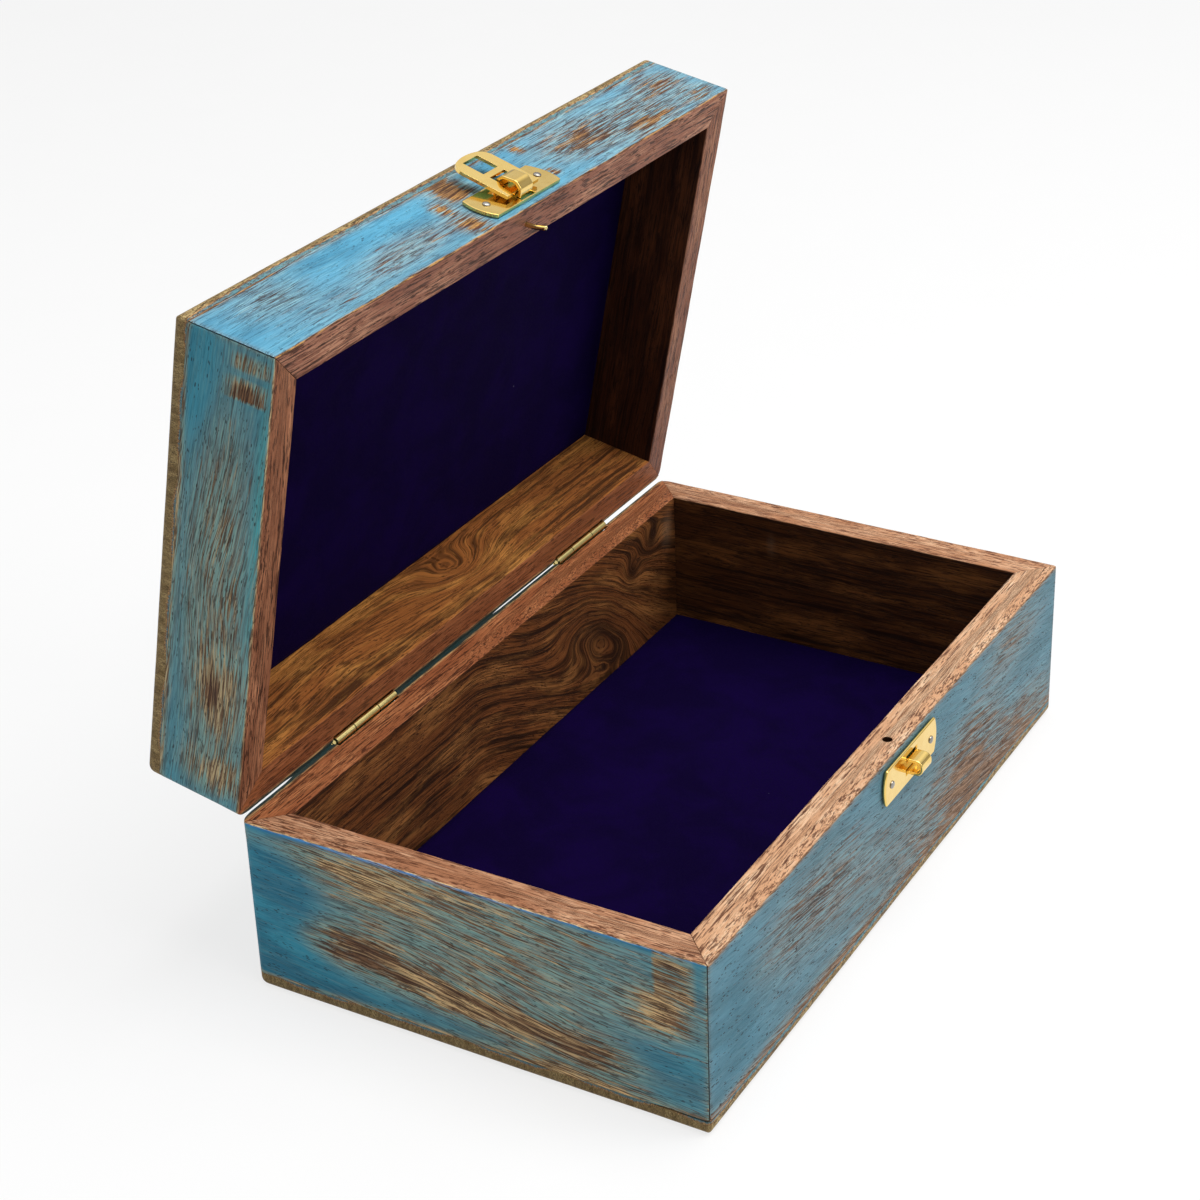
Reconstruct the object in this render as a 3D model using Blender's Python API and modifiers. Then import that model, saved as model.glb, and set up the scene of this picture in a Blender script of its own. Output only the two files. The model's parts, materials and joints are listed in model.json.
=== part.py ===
"""A painted wooden keepsake chest, standing open: a mitred base and lid on two brass hinges,
with a flat hasp on the lid that drops over a strip loop on the base."""

import math

import bmesh
import bpy
from mathutils import Matrix, Vector

# Sizes are in metres. X runs along the chest, the front faces -Y and Z is up.
# The origin is the middle of the underside, and places are given with the lid closed.

# The two boxes
LENGTH = 0.203
DEPTH = 0.122
BASE_HEIGHT = 0.0456
LID_HEIGHT = 0.0264
WALL = 0.009
BOARD = 0.0038
RIM_GAP = 0.0004
GLUE_LINE = 0.0002
BACK_CORNER_RADIUS = 0.0028
FRONT_CORNER_RADIUS = 0.0011
OUTER_EDGE_RADIUS = 0.002
RIM_EDGE_RADIUS = 0.0004

# What fits with play keeps this much all round, and what lies flat on wood keeps its seat gap
CLEARANCE = 0.0003
SEAT_GAP = 0.0002

# Linings
BASE_CARD = 0.0028
BASE_VELVET = 0.001
LID_CARD = 0.0005
LID_VELVET = 0.0006

# Hinges
HINGE_LENGTH = 0.0254
LEFT_HINGE_FROM_LEFT = 0.0515
RIGHT_HINGE_FROM_RIGHT = 0.0465
BARREL_RADIUS = 0.00135
HINGE_PIN_RADIUS = 0.0006
END_KNUCKLE = 0.0074
KNUCKLE_GAP = 0.0003
AXIS_BEHIND_BACK = 0.0005
LEAF_THICKNESS = 0.0009
LEAF_REACH = 0.009
LEAF_TAB_INSET = 0.0001
RECESS_END_PLAY = 0.0005
SCREW_FROM_AXIS = 0.0055
SCREW_FROM_MIDDLE = 0.0072
OPEN_ANGLE = math.radians(78.7)

# Screws and nails
SHANK_RADIUS = 0.00045
SHANK_LENGTH = 0.0055
SCREW_HEAD_RADIUS = 0.0012
NAIL_HEAD_RADIUS = 0.001
HEAD_DOME = 0.0005

# Latch plates
PLATE_LENGTH = 0.0306
PLATE_HEIGHT = 0.01
PLATE_THICKNESS = 0.0009
PLATE_END_BULGE = 0.0012
PLATE_FROM_RIM = 0.0017
LATCH_OFFSET = 0.002
NAIL_FROM_MIDDLE = 0.0115

# Strip loops
STRIP_WIDTH = 0.0054
STRIP_THICKNESS = 0.0008
STRIP_ROOT = 0.002
SLOT_SLACK = 0.0007
LID_LOOP_FROM_RIM = 0.0027
LID_LOOP_SPAN = 0.0075
LID_LOOP_STAND = 0.0039
LID_LOOP_CHAMFER = 0.0017
CATCH_FROM_RIM = 0.0044
CATCH_SPAN = 0.0042
CATCH_STAND = 0.0041
CATCH_CHAMFER = 0.0005

# Hasp
HASP_WIDTH = 0.014
HASP_THICKNESS = 0.0009
HASP_BAR = 0.0018
HASP_LID_SLOT = 0.0058
HASP_CATCH_SLOT = 0.006
HASP_SLOT_WIDTH = 0.0064
HASP_END_BULGE = 0.0016
HASP_CORNER_RADIUS = 0.0009
HASP_AXIS_FROM_RIM = 0.0047
HASP_AXIS_FROM_PLATE = 0.00125
HASP_LIFT = math.radians(7)

# Locating pin
PIN_OFFSET = -0.0012
PIN_RADIUS = 0.00065
PIN_STAND = 0.0057
PIN_ROOT = 0.004
PIN_BEND = 0.0009
PIN_HOLE_DEPTH = 0.0072

# Making
OVERRUN = 0.001
MERGE = 0.000001
CORNER_SEGMENTS = 4
ARC_SEGMENTS = 8
BARREL_SEGMENTS = 24
ROUND_SEGMENTS = 16
BEND_POINTS = 7

LID_RIM = BASE_HEIGHT + RIM_GAP
TOP = LID_RIM + LID_HEIGHT
HINGE_AXIS = Vector((0, DEPTH / 2 + AXIS_BEHIND_BACK, BASE_HEIGHT + RIM_GAP / 2))
PLATE_FACE = SEAT_GAP + PLATE_THICKNESS
HASP_AXIS = Vector(
    (LATCH_OFFSET, -DEPTH / 2 - PLATE_FACE - HASP_AXIS_FROM_PLATE, LID_RIM + HASP_AXIS_FROM_RIM)
)
HOLE_RADIUS = SHANK_RADIUS + CLEARANCE

# Colour, roughness and metallic value of each finish
FINISHES = {
    "painted_wood": ((0.09, 0.32, 0.46), 0.6, 0),
    "card": ((0.2, 0.17, 0.13), 0.9, 0),
    "velvet": ((0.012, 0.004, 0.09), 0.95, 0),
    "brass": ((0.78, 0.57, 0.2), 0.28, 1),
    "steel": ((0.55, 0.53, 0.5), 0.35, 1),
}


def clear_scene():
    for thing in list(bpy.data.objects):
        bpy.data.objects.remove(thing)


def new_collection(name):
    collection = bpy.data.collections.new(name)
    bpy.context.scene.collection.children.link(collection)
    return collection


def new_material(name, finish):
    colour, roughness, metallic = FINISHES[finish]
    material = bpy.data.materials.new(name + "_finish")
    material.use_nodes = True
    shader = material.node_tree.nodes["Principled BSDF"]
    shader.inputs["Base Color"].default_value = (*colour, 1)
    shader.inputs["Roughness"].default_value = roughness
    shader.inputs["Metallic"].default_value = metallic
    return material


def new_axis(name, place, turn, parent=None):
    """An empty on a joint's axis; its children are placed as with the lid closed."""
    axis = bpy.data.objects.new(name, None)
    parts.objects.link(axis)
    hang(axis, place, parent)
    axis["closed_place"] = tuple(place)
    axis.rotation_euler.x = turn
    return axis


def hang(thing, place, parent):
    """Puts a thing at its place in the closed chest, carried by its parent."""
    thing.parent = parent
    origin = Vector(parent["closed_place"]) if parent else Vector((0, 0, 0))
    thing.location = Vector(place) - origin


def new_part(name, data, finish, place, parent=None, turn=(0, 0, 0)):
    part = bpy.data.objects.new(name, data)
    parts.objects.link(part)
    hang(part, place, parent)
    part.rotation_euler = turn
    if not data.materials:
        data.materials.append(None)
    part.material_slots[0].link = "OBJECT"
    part.material_slots[0].material = new_material(name, finish)
    return part


def new_cutter(name, data, place=(0, 0, 0), parent=None, turn=(0, 0, 0)):
    cutter = bpy.data.objects.new(name, data)
    cutters.objects.link(cutter)
    hang(cutter, place, parent)
    cutter.rotation_euler = turn
    cutter.hide_render = True
    cutter.display_type = "WIRE"
    return cutter


def combine(part, other, operation="DIFFERENCE"):
    modifier = part.modifiers.new(other.name, "BOOLEAN")
    modifier.operation = operation
    modifier.object = other


def box_mesh(name, low, high):
    low, high = Vector(low), Vector(high)
    shape = bmesh.new()
    bmesh.ops.create_cube(
        shape,
        size=1,
        matrix=Matrix.Translation((low + high) / 2) @ Matrix.Diagonal((*(high - low), 1)),
    )
    return to_mesh(name, shape)


def rod_mesh(name, radius, length, turn, segments=ROUND_SEGMENTS):
    """A round rod centred on its origin, along Z before its turn."""
    shape = bmesh.new()
    bmesh.ops.create_cone(
        shape,
        cap_ends=True,
        segments=segments,
        radius1=radius,
        radius2=radius,
        depth=length,
        matrix=turn,
    )
    return to_mesh(name, shape, smooth=True)


def to_mesh(name, shape, smooth=False):
    mesh = bpy.data.meshes.new(name)
    shape.to_mesh(mesh)
    shape.free()
    if smooth:
        mesh.shade_smooth()
        mesh.set_sharp_from_angle(angle=math.radians(40))
    return mesh


def finished_mesh(thing):
    """The thing's evaluated shape, with its seams closed, as a mesh; the thing goes."""
    evaluated = thing.evaluated_get(bpy.context.evaluated_depsgraph_get())
    mesh = bpy.data.meshes.new_from_object(evaluated)
    shape = bmesh.new()
    shape.from_mesh(mesh)
    bmesh.ops.remove_doubles(shape, verts=shape.verts, dist=MERGE)
    bmesh.ops.recalc_face_normals(shape, faces=shape.faces)
    bpy.data.meshes.remove(mesh)
    name = thing.name
    bpy.data.objects.remove(thing)
    return to_mesh(name, shape, smooth=True)


def flat_mesh(name, outlines, thickness):
    """A sheet cut to the first outline, with the other outlines as holes in it."""
    curve = bpy.data.curves.new(name, "CURVE")
    curve.dimensions = "2D"
    curve.fill_mode = "BOTH"
    curve.extrude = thickness / 2
    for outline in outlines:
        spline = curve.splines.new("POLY")
        spline.points.add(len(outline) - 1)
        for point, (x, y) in zip(spline.points, outline):
            point.co = (x, y, 0, 1)
        spline.use_cyclic_u = True
    sheet = bpy.data.objects.new(name, curve)
    parts.objects.link(sheet)
    return finished_mesh(sheet)


def rectangle(x_low, x_high, y_low, y_high):
    return [(x_low, y_low), (x_high, y_low), (x_high, y_high), (x_low, y_high)]


def circle(x, y, radius):
    steps = [2 * math.pi * step / ROUND_SEGMENTS for step in range(ROUND_SEGMENTS)]
    return [(x + radius * math.cos(angle), y + radius * math.sin(angle)) for angle in steps]


def bulge(start, end, height):
    """Points of a shallow arc from start to end that swells to the right of its way."""
    start, end = Vector(start), Vector(end)
    way = end - start
    side = Vector((way.y, -way.x)).normalized()
    points = []
    for step in range(ARC_SEGMENTS + 1):
        share = step / ARC_SEGMENTS
        swell = height * (1 - (2 * share - 1) ** 2)
        points.append(tuple(start + way * share + side * swell))
    return points


def quarter(x, y, radius, start):
    """A quarter circle about x, y, anticlockwise from the start angle."""
    angles = [start + math.pi / 2 * step / CORNER_SEGMENTS for step in range(CORNER_SEGMENTS + 1)]
    return [(x + radius * math.cos(angle), y + radius * math.sin(angle)) for angle in angles]


def outer_block(name, low, high, outer_is_high, parent):
    """The outside of one box with its rounded corners and edges, which trims its boards."""
    mesh = box_mesh(name, (-LENGTH / 2, -DEPTH / 2, low), (LENGTH / 2, DEPTH / 2, high))
    widest = max(BACK_CORNER_RADIUS, FRONT_CORNER_RADIUS, OUTER_EDGE_RADIUS, RIM_EDGE_RADIUS)
    shape = bmesh.new()
    shape.from_mesh(mesh)
    weights = shape.edges.layers.float.new("bevel_weight_edge")
    middle = (low + high) / 2
    for edge in shape.edges:
        one, other = (vert.co for vert in edge.verts)
        if (one.z > middle) != (other.z > middle):
            radius = BACK_CORNER_RADIUS if one.y > 0 else FRONT_CORNER_RADIUS
        elif (one.z > middle) == outer_is_high:
            radius = OUTER_EDGE_RADIUS
        else:
            radius = RIM_EDGE_RADIUS
        edge[weights] = radius / widest
    shape.to_mesh(mesh)
    shape.free()
    origin = Vector(parent["closed_place"]) if parent else Vector((0, 0, 0))
    block = new_cutter(name, mesh, origin, parent)
    mesh.transform(Matrix.Translation(-origin))
    rounding = block.modifiers.new("rounding", "BEVEL")
    rounding.limit_method = "WEIGHT"
    rounding.width = widest
    rounding.segments = CORNER_SEGMENTS
    return block


def side_places():
    """Each side's run, the middle of its outer face and its turn about Z."""
    return {
        "front": (LENGTH, (0, -DEPTH / 2), 0),
        "right": (DEPTH, (LENGTH / 2, 0), math.pi / 2),
        "back": (LENGTH, (0, DEPTH / 2), math.pi),
        "left": (DEPTH, (-LENGTH / 2, 0), -math.pi / 2),
    }


def mitred_wall(name, side, low, high, parent):
    """A wall board: local X along its run, Y inwards from its outer face and Z up."""
    run, (x, y), turn = side_places()[side]
    mesh = box_mesh(name, (-run / 2, -OVERRUN, 0), (run / 2, WALL, high - low))
    for vert in mesh.vertices:
        half = run / 2 - vert.co.y - GLUE_LINE / math.sqrt(2)
        vert.co.x = math.copysign(half, vert.co.x)
    return new_part(name, mesh, "painted_wood", (x, y, low), parent, (0, 0, turn))


def flat_board(name, low, high, parent):
    half = Vector((LENGTH / 2 + OVERRUN, DEPTH / 2 + OVERRUN, 0))
    rise = Vector((0, 0, high - low))
    mesh = box_mesh(name, -half, half + rise)
    return new_part(name, mesh, "painted_wood", (0, 0, low), parent)


def lining(name, low, high, finish, parent):
    """A sheet that fills the box between its walls with a clearance all round."""
    half = Vector((LENGTH / 2 - WALL - CLEARANCE, DEPTH / 2 - WALL - CLEARANCE, 0))
    mesh = box_mesh(name, -half, half + Vector((0, 0, high - low)))
    return new_part(name, mesh, finish, (0, 0, low), parent)


def make_base():
    """The base's linings and boards, by side, oversize outside until they are trimmed."""
    card_low = BOARD + GLUE_LINE
    boards = {
        side: mitred_wall(f"base_{side}_wall", side, card_low, BASE_HEIGHT + OVERRUN, None)
        for side in side_places()
    }
    boards["flat"] = flat_board("base_bottom_board", -OVERRUN, BOARD, None)
    velvet_low = card_low + BASE_CARD + GLUE_LINE
    lining("base_lining_card", card_low, card_low + BASE_CARD, "card", None)
    lining("base_velvet", velvet_low, velvet_low + BASE_VELVET, "velvet", None)
    return boards


def make_lid(axis):
    """The lid's linings and boards, by side, oversize outside until they are trimmed."""
    card_high = TOP - BOARD - GLUE_LINE
    boards = {
        side: mitred_wall(f"lid_{side}_wall", side, LID_RIM - OVERRUN, card_high, axis)
        for side in side_places()
    }
    boards["flat"] = flat_board("lid_top_board", TOP - BOARD, TOP + OVERRUN, axis)
    velvet_high = card_high - LID_CARD - GLUE_LINE
    lining("lid_lining_card", card_high - LID_CARD, card_high, "card", axis)
    lining("lid_velvet", velvet_high - LID_VELVET, velvet_high, "velvet", axis)
    return boards


def trim(boards, block):
    """Rounds the boards' outer corners and edges as one box, after every hole is cut."""
    for board in boards.values():
        combine(board, block, "INTERSECT")


def fastener_mesh(name, head_radius):
    """A turned nail or screw: a domed head on Z = 0 and a shank that runs down from it."""
    angles = [math.pi / 2 * (1 - step / CORNER_SEGMENTS) for step in range(CORNER_SEGMENTS + 1)]
    profile = [(head_radius * math.cos(angle), HEAD_DOME * math.sin(angle)) for angle in angles]
    profile[0] = (0, HEAD_DOME)
    profile += [(SHANK_RADIUS, 0), (SHANK_RADIUS, SHANK_RADIUS - SHANK_LENGTH), (0, -SHANK_LENGTH)]
    shape = bmesh.new()
    points = [shape.verts.new((x, 0, z)) for x, z in profile]
    for one, other in zip(points, points[1:]):
        shape.edges.new((one, other))
    fastener = bpy.data.objects.new(name, to_mesh(name, shape))
    parts.objects.link(fastener)
    turning = fastener.modifiers.new("turning", "SCREW")
    turning.steps = turning.render_steps = ROUND_SEGMENTS
    turning.use_merge_vertices = True
    turning.merge_threshold = MERGE
    return finished_mesh(fastener)


def fasten(name, mesh, finish, place, parent, facing, walls):
    """Sets a fastener in a wall, facing -Y or +Y, with its hole cut in the wall."""
    turn = (facing * math.pi / 2, 0, 0)
    new_part(name, mesh, finish, place, parent, turn)
    shape = rod_mesh(name + "_hole", HOLE_RADIUS, 2 * (SHANK_LENGTH + CLEARANCE), Matrix())
    hole = new_cutter(name + "_hole", shape, place, parent, turn)
    combine(walls["front" if facing > 0 else "back"], hole)


def knuckle_spans():
    """The barrel's three knuckles as X ranges about the hinge's middle: end, middle, end."""
    end, inner = HINGE_LENGTH / 2, HINGE_LENGTH / 2 - END_KNUCKLE
    middle = inner - KNUCKLE_GAP
    return (-end, -inner), (-middle, middle), (inner, end)


def leaf_mesh(name, own_spans, sign):
    """A leaf flat on the back, whose tabs reach its own knuckles; its origin is on the axis."""
    edge = BARREL_RADIUS + CLEARANCE
    bore_radius = HINGE_PIN_RADIUS + CLEARANCE
    tab_end = (BARREL_RADIUS + bore_radius) / 2
    half = HINGE_LENGTH / 2 - LEAF_TAB_INSET
    front = SEAT_GAP - AXIS_BEHIND_BACK
    back = front + LEAF_THICKNESS
    ends = sorted((sign * tab_end, sign * LEAF_REACH))
    sheet = box_mesh(name, (-half, front, ends[0]), (half, back, ends[1]))
    leaf = bpy.data.objects.new(name, sheet)
    parts.objects.link(leaf)
    sides = [side for low, high in own_spans for side in (low + LEAF_TAB_INSET, high - LEAF_TAB_INSET)]
    sides = [-half - OVERRUN, *sides, half + OVERRUN]
    ends = sorted((0, sign * edge))
    for number, (low, high) in enumerate(zip(sides[::2], sides[1::2])):
        if high - low > 2 * OVERRUN:
            shape = box_mesh(f"{name}_notch_{number}", (low, -edge, ends[0]), (high, edge, ends[1]))
            combine(leaf, new_cutter(shape.name, shape))
    for number, x in enumerate((-SCREW_FROM_MIDDLE, SCREW_FROM_MIDDLE)):
        upright = Matrix.Rotation(math.pi / 2, 4, "X")
        shape = rod_mesh(f"{name}_hole_{number}", HOLE_RADIUS, 2 * BARREL_RADIUS, upright)
        combine(leaf, new_cutter(shape.name, shape, (x, 0, sign * SCREW_FROM_AXIS)))
    along = Matrix.Rotation(math.pi / 2, 4, "Y")
    for number, (low, high) in enumerate(own_spans):
        shape = rod_mesh(f"{name}_knuckle_{number}", BARREL_RADIUS, high - low, along, BARREL_SEGMENTS)
        knuckle = new_cutter(shape.name, shape, ((low + high) / 2, 0, 0))
        combine(leaf, knuckle, "UNION")
    shape = rod_mesh(name + "_bore", bore_radius, HINGE_LENGTH + 2 * OVERRUN, along, BARREL_SEGMENTS)
    combine(leaf, new_cutter(shape.name, shape))
    return finished_mesh(leaf)


def hinge_recess(name, middle, wall, parent):
    """The notch along a rim's back edge that clears the barrel."""
    reach = Vector((HINGE_LENGTH / 2 + RECESS_END_PLAY, BARREL_RADIUS + CLEARANCE, 0))
    rise = Vector((0, 0, BARREL_RADIUS + CLEARANCE))
    mesh = box_mesh(name, -reach - rise, reach + rise)
    combine(wall, new_cutter(name, mesh, middle, parent))


def make_hinges(base_walls, lid_walls, axis):
    end_left, middle_knuckle, end_right = knuckle_spans()
    base_leaf = leaf_mesh("base_leaf", (end_left, end_right), -1)
    lid_leaf = leaf_mesh("lid_leaf", (middle_knuckle,), 1)
    along = Matrix.Rotation(math.pi / 2, 4, "Y")
    pin = rod_mesh("hinge_pin", HINGE_PIN_RADIUS, HINGE_LENGTH, along)
    screw = fastener_mesh("hinge_screw", SCREW_HEAD_RADIUS)
    leaf_face = DEPTH / 2 + SEAT_GAP + LEAF_THICKNESS
    places = {
        "left": LEFT_HINGE_FROM_LEFT - LENGTH / 2,
        "right": LENGTH / 2 - RIGHT_HINGE_FROM_RIGHT,
    }
    for side, x in places.items():
        middle = HINGE_AXIS + Vector((x, 0, 0))
        new_part(f"{side}_hinge_base_leaf", base_leaf, "brass", middle)
        new_part(f"{side}_hinge_lid_leaf", lid_leaf, "brass", middle, axis)
        new_part(f"{side}_hinge_pin", pin, "brass", middle)
        hinge_recess(f"{side}_base_recess", middle, base_walls["back"], None)
        hinge_recess(f"{side}_lid_recess", middle, lid_walls["back"], axis)
        for leaf, walls, parent, sign in (("base", base_walls, None, -1), ("lid", lid_walls, axis, 1)):
            for end, along_x in (("left", -SCREW_FROM_MIDDLE), ("right", SCREW_FROM_MIDDLE)):
                height = HINGE_AXIS.z + sign * SCREW_FROM_AXIS
                place = (x + along_x, leaf_face, height)
                name = f"{side}_hinge_{leaf}_screw_{end}"
                fasten(name, screw, "brass", place, parent, -1, walls)


def strip_outline(span, stand, chamfer):
    """Side view of a strip bent into a loop: X out of the plate's face, Y along the span."""
    root = -(PLATE_FACE + STRIP_ROOT)
    outer = [(root, 0), (stand - chamfer, 0), (stand, chamfer), (stand, span - chamfer)]
    outer += [(stand - chamfer, span), (root, span)]
    thick = STRIP_THICKNESS
    inset = thick * math.tan(math.pi / 8)
    inner = [(root, thick), (stand - chamfer - inset, thick), (stand - thick, chamfer + inset)]
    inner += [(stand - thick, span - chamfer - inset), (stand - chamfer - inset, span - thick)]
    inner += [(root, span - thick)]
    return outer + inner[::-1]


def leg_slots(span):
    """The two slots of a loop's legs as Y ranges from the loop's rim side."""
    far = span - STRIP_THICKNESS
    return (-SLOT_SLACK, STRIP_THICKNESS + CLEARANCE), (far - CLEARANCE, span + CLEARANCE)


def plate_mesh(name, loop_from_rim, span):
    """A latch plate seen from the front: X along the chest, Y away from the rim."""
    half = PLATE_LENGTH / 2 - PLATE_END_BULGE
    near, far = PLATE_FROM_RIM, PLATE_FROM_RIM + PLATE_HEIGHT
    outline = bulge((half, near), (half, far), PLATE_END_BULGE)
    outline += bulge((-half, far), (-half, near), PLATE_END_BULGE)
    middle = (near + far) / 2
    holes = [circle(x, middle, HOLE_RADIUS) for x in (-NAIL_FROM_MIDDLE, NAIL_FROM_MIDDLE)]
    side = STRIP_WIDTH / 2 + CLEARANCE
    for low, high in leg_slots(span):
        holes.append(rectangle(-side, side, loop_from_rim + low, loop_from_rim + high))
    return flat_mesh(name, [outline, *holes], PLATE_THICKNESS)


def make_loop(name, from_rim, outline_sizes, rim, away, wall, parent):
    """A strip loop whose legs run through their plate into mortises in the wall."""
    span, stand, chamfer = outline_sizes
    mesh = flat_mesh(name, [strip_outline(span, stand, chamfer)], STRIP_WIDTH)
    if away < 0:
        mesh.transform(Matrix.Rotation(math.pi, 4, "X"))
    place = (LATCH_OFFSET, -DEPTH / 2 - PLATE_FACE, rim + away * from_rim)
    new_part(name, mesh, "brass", place, parent, (math.pi / 2, 0, -math.pi / 2))
    side = STRIP_WIDTH / 2 + CLEARANCE
    deep = STRIP_ROOT + CLEARANCE
    for number, (low, high) in enumerate(((0, STRIP_THICKNESS), (span - STRIP_THICKNESS, span))):
        ends = sorted((away * (low - CLEARANCE), away * (high + CLEARANCE)))
        shape = box_mesh(f"{name}_mortise_{number}", (-side, 0, ends[0]), (side, PLATE_FACE + deep, ends[1]))
        combine(wall, new_cutter(shape.name, shape, place, parent))


def hasp_mesh():
    """The hasp seen from the front, from its axis bar up to its rounded free end."""
    half, slot = HASP_WIDTH / 2, HASP_SLOT_WIDTH / 2
    low = -HASP_BAR / 2
    lid_slot = (HASP_BAR / 2, HASP_BAR / 2 + HASP_LID_SLOT)
    catch_low = lid_slot[1] + HASP_BAR
    catch_slot = (catch_low, catch_low + HASP_CATCH_SLOT)
    shoulder = catch_slot[1] + HASP_BAR - HASP_END_BULGE
    round_y = shoulder - HASP_CORNER_RADIUS
    round_x = half - HASP_CORNER_RADIUS
    outline = [(-half, low), (half, low)]
    outline += quarter(round_x, round_y, HASP_CORNER_RADIUS, 0)[:-1]
    outline += bulge((round_x, shoulder), (-round_x, shoulder), HASP_END_BULGE)
    outline += quarter(-round_x, round_y, HASP_CORNER_RADIUS, math.pi / 2)[1:]
    holes = [rectangle(-slot, slot, *ends) for ends in (lid_slot, catch_slot)]
    return flat_mesh("hasp", [outline, *holes], HASP_THICKNESS)


def make_latch(base_walls, lid_walls, axis):
    nail = fastener_mesh("latch_nail", NAIL_HEAD_RADIUS)
    lid_sizes = (LID_LOOP_SPAN, LID_LOOP_STAND, LID_LOOP_CHAMFER)
    catch_sizes = (CATCH_SPAN, CATCH_STAND, CATCH_CHAMFER)
    middle = -DEPTH / 2 - SEAT_GAP - PLATE_THICKNESS / 2
    upright = (math.pi / 2, 0, 0)
    halves = (
        ("lid_latch", LID_LOOP_FROM_RIM, lid_sizes, LID_RIM, 1, lid_walls, axis),
        ("catch", CATCH_FROM_RIM, catch_sizes, BASE_HEIGHT, -1, base_walls, None),
    )
    for name, from_rim, sizes, rim, away, walls, parent in halves:
        plate = plate_mesh(f"{name}_plate", from_rim, sizes[0])
        if away < 0:
            plate.transform(Matrix.Rotation(math.pi, 4, "X"))
        new_part(f"{name}_plate", plate, "brass", (LATCH_OFFSET, middle, rim), parent, upright)
        make_loop(f"{name}_loop", from_rim, sizes, rim, away, walls["front"], parent)
        height = rim + away * (PLATE_FROM_RIM + PLATE_HEIGHT / 2)
        for end, along_x in (("left", -NAIL_FROM_MIDDLE), ("right", NAIL_FROM_MIDDLE)):
            place = (LATCH_OFFSET + along_x, -DEPTH / 2 - PLATE_FACE, height)
            fasten(f"{name}_nail_{end}", nail, "steel", place, parent, 1, walls)
    hasp_axis = new_axis("hasp_axis", HASP_AXIS, HASP_LIFT, axis)
    new_part("latch_hasp", hasp_mesh(), "brass", HASP_AXIS, hasp_axis, upright)


def make_locating_pin(base_walls, lid_walls, axis):
    """A headless nail in the lid's rim, bent to the front, and its two holes."""
    root = Vector((PIN_OFFSET, -DEPTH / 2 + WALL / 2, LID_RIM))
    curve = bpy.data.curves.new("locating_pin", "CURVE")
    curve.dimensions = "3D"
    curve.bevel_depth = PIN_RADIUS
    curve.bevel_resolution = 2
    curve.use_fill_caps = True
    spline = curve.splines.new("POLY")
    spline.points.add(BEND_POINTS)
    spline.points[0].co = (0, 0, PIN_ROOT, 1)
    for step in range(BEND_POINTS):
        share = step / (BEND_POINTS - 1)
        spline.points[step + 1].co = (0, -PIN_BEND * share**2, -PIN_STAND * share, 1)
    pin = bpy.data.objects.new("locating_pin", curve)
    parts.objects.link(pin)
    new_part("locating_pin", finished_mesh(pin), "brass", root, axis)
    shape = rod_mesh("pin_root_hole", PIN_RADIUS + CLEARANCE, 2 * (PIN_ROOT + CLEARANCE), Matrix())
    combine(lid_walls["front"], new_cutter("pin_root_hole", shape, root, axis))
    shape = rod_mesh("pin_hole", PIN_RADIUS + PIN_BEND / 2 + CLEARANCE, 2 * PIN_HOLE_DEPTH, Matrix())
    entry = (PIN_OFFSET, root.y - PIN_BEND / 2, BASE_HEIGHT)
    combine(base_walls["front"], new_cutter("pin_hole", shape, entry))


clear_scene()
parts = new_collection("wooden_chest")
cutters = new_collection("cutters")
lid_axis = new_axis("lid_axis", HINGE_AXIS, -OPEN_ANGLE)
base_boards = make_base()
lid_boards = make_lid(lid_axis)
make_hinges(base_boards, lid_boards, lid_axis)
make_latch(base_boards, lid_boards, lid_axis)
make_locating_pin(base_boards, lid_boards, lid_axis)
trim(base_boards, outer_block("base_outside", 0, BASE_HEIGHT, False, None))
trim(lid_boards, outer_block("lid_outside", LID_RIM, TOP, True, lid_axis))
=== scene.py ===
import json
import math

import bpy
import numpy as np
from mathutils import Matrix, Vector


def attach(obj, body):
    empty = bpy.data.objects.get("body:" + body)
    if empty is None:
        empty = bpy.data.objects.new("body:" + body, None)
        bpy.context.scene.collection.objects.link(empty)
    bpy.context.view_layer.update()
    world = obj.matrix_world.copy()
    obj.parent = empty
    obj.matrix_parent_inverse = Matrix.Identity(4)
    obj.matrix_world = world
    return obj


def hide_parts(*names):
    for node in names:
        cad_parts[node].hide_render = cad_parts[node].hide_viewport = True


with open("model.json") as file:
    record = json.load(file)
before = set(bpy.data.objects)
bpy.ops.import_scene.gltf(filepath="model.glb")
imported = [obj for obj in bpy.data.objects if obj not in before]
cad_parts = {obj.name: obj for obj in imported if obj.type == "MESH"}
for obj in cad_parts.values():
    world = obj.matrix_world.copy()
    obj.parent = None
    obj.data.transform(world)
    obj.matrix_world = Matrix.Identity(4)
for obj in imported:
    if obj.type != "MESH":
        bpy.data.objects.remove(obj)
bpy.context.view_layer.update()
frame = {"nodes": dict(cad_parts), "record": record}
print("stage: frame loaded")

# Sizes in metres, in the frame of the chest: X along its length, Y from latch to hinges, Z up
chest = {
    "length": 0.203,
    "depth": 0.122,
    "wall": 0.009,
    "frontCorner": 0.0011,
    "backCorner": 0.0028,
    "leastCorner": 0.0004,
    "outerEdge": 0.002,
    "rimEdge": 0.00045,
    "backRimEdge": 0.00014,
    "seam": 0.00004,  # between the walls and the board that closes them; the next is the CAD's
    "cadSeam": 0.0002,
    "openSeam": 0.00035,  # the gap under the left wall, near its front corner
    "openSeamFrom": 0.105,
    "openSeamRun": 0.006,
    "openSeamHeight": 0.003,
    "uneven": 0.00003,  # hand sanding of the faces and rims
    "wallStep": 0.0011,  # grid steps of the walls' outer faces, their inner faces and the boards
    "innerStep": 0.0014,
    "boardStep": 0.0013,
    "openAngle": 78.7,
    "axisY": 0.0615,
    "axisZ": 0.0458,
}
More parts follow.
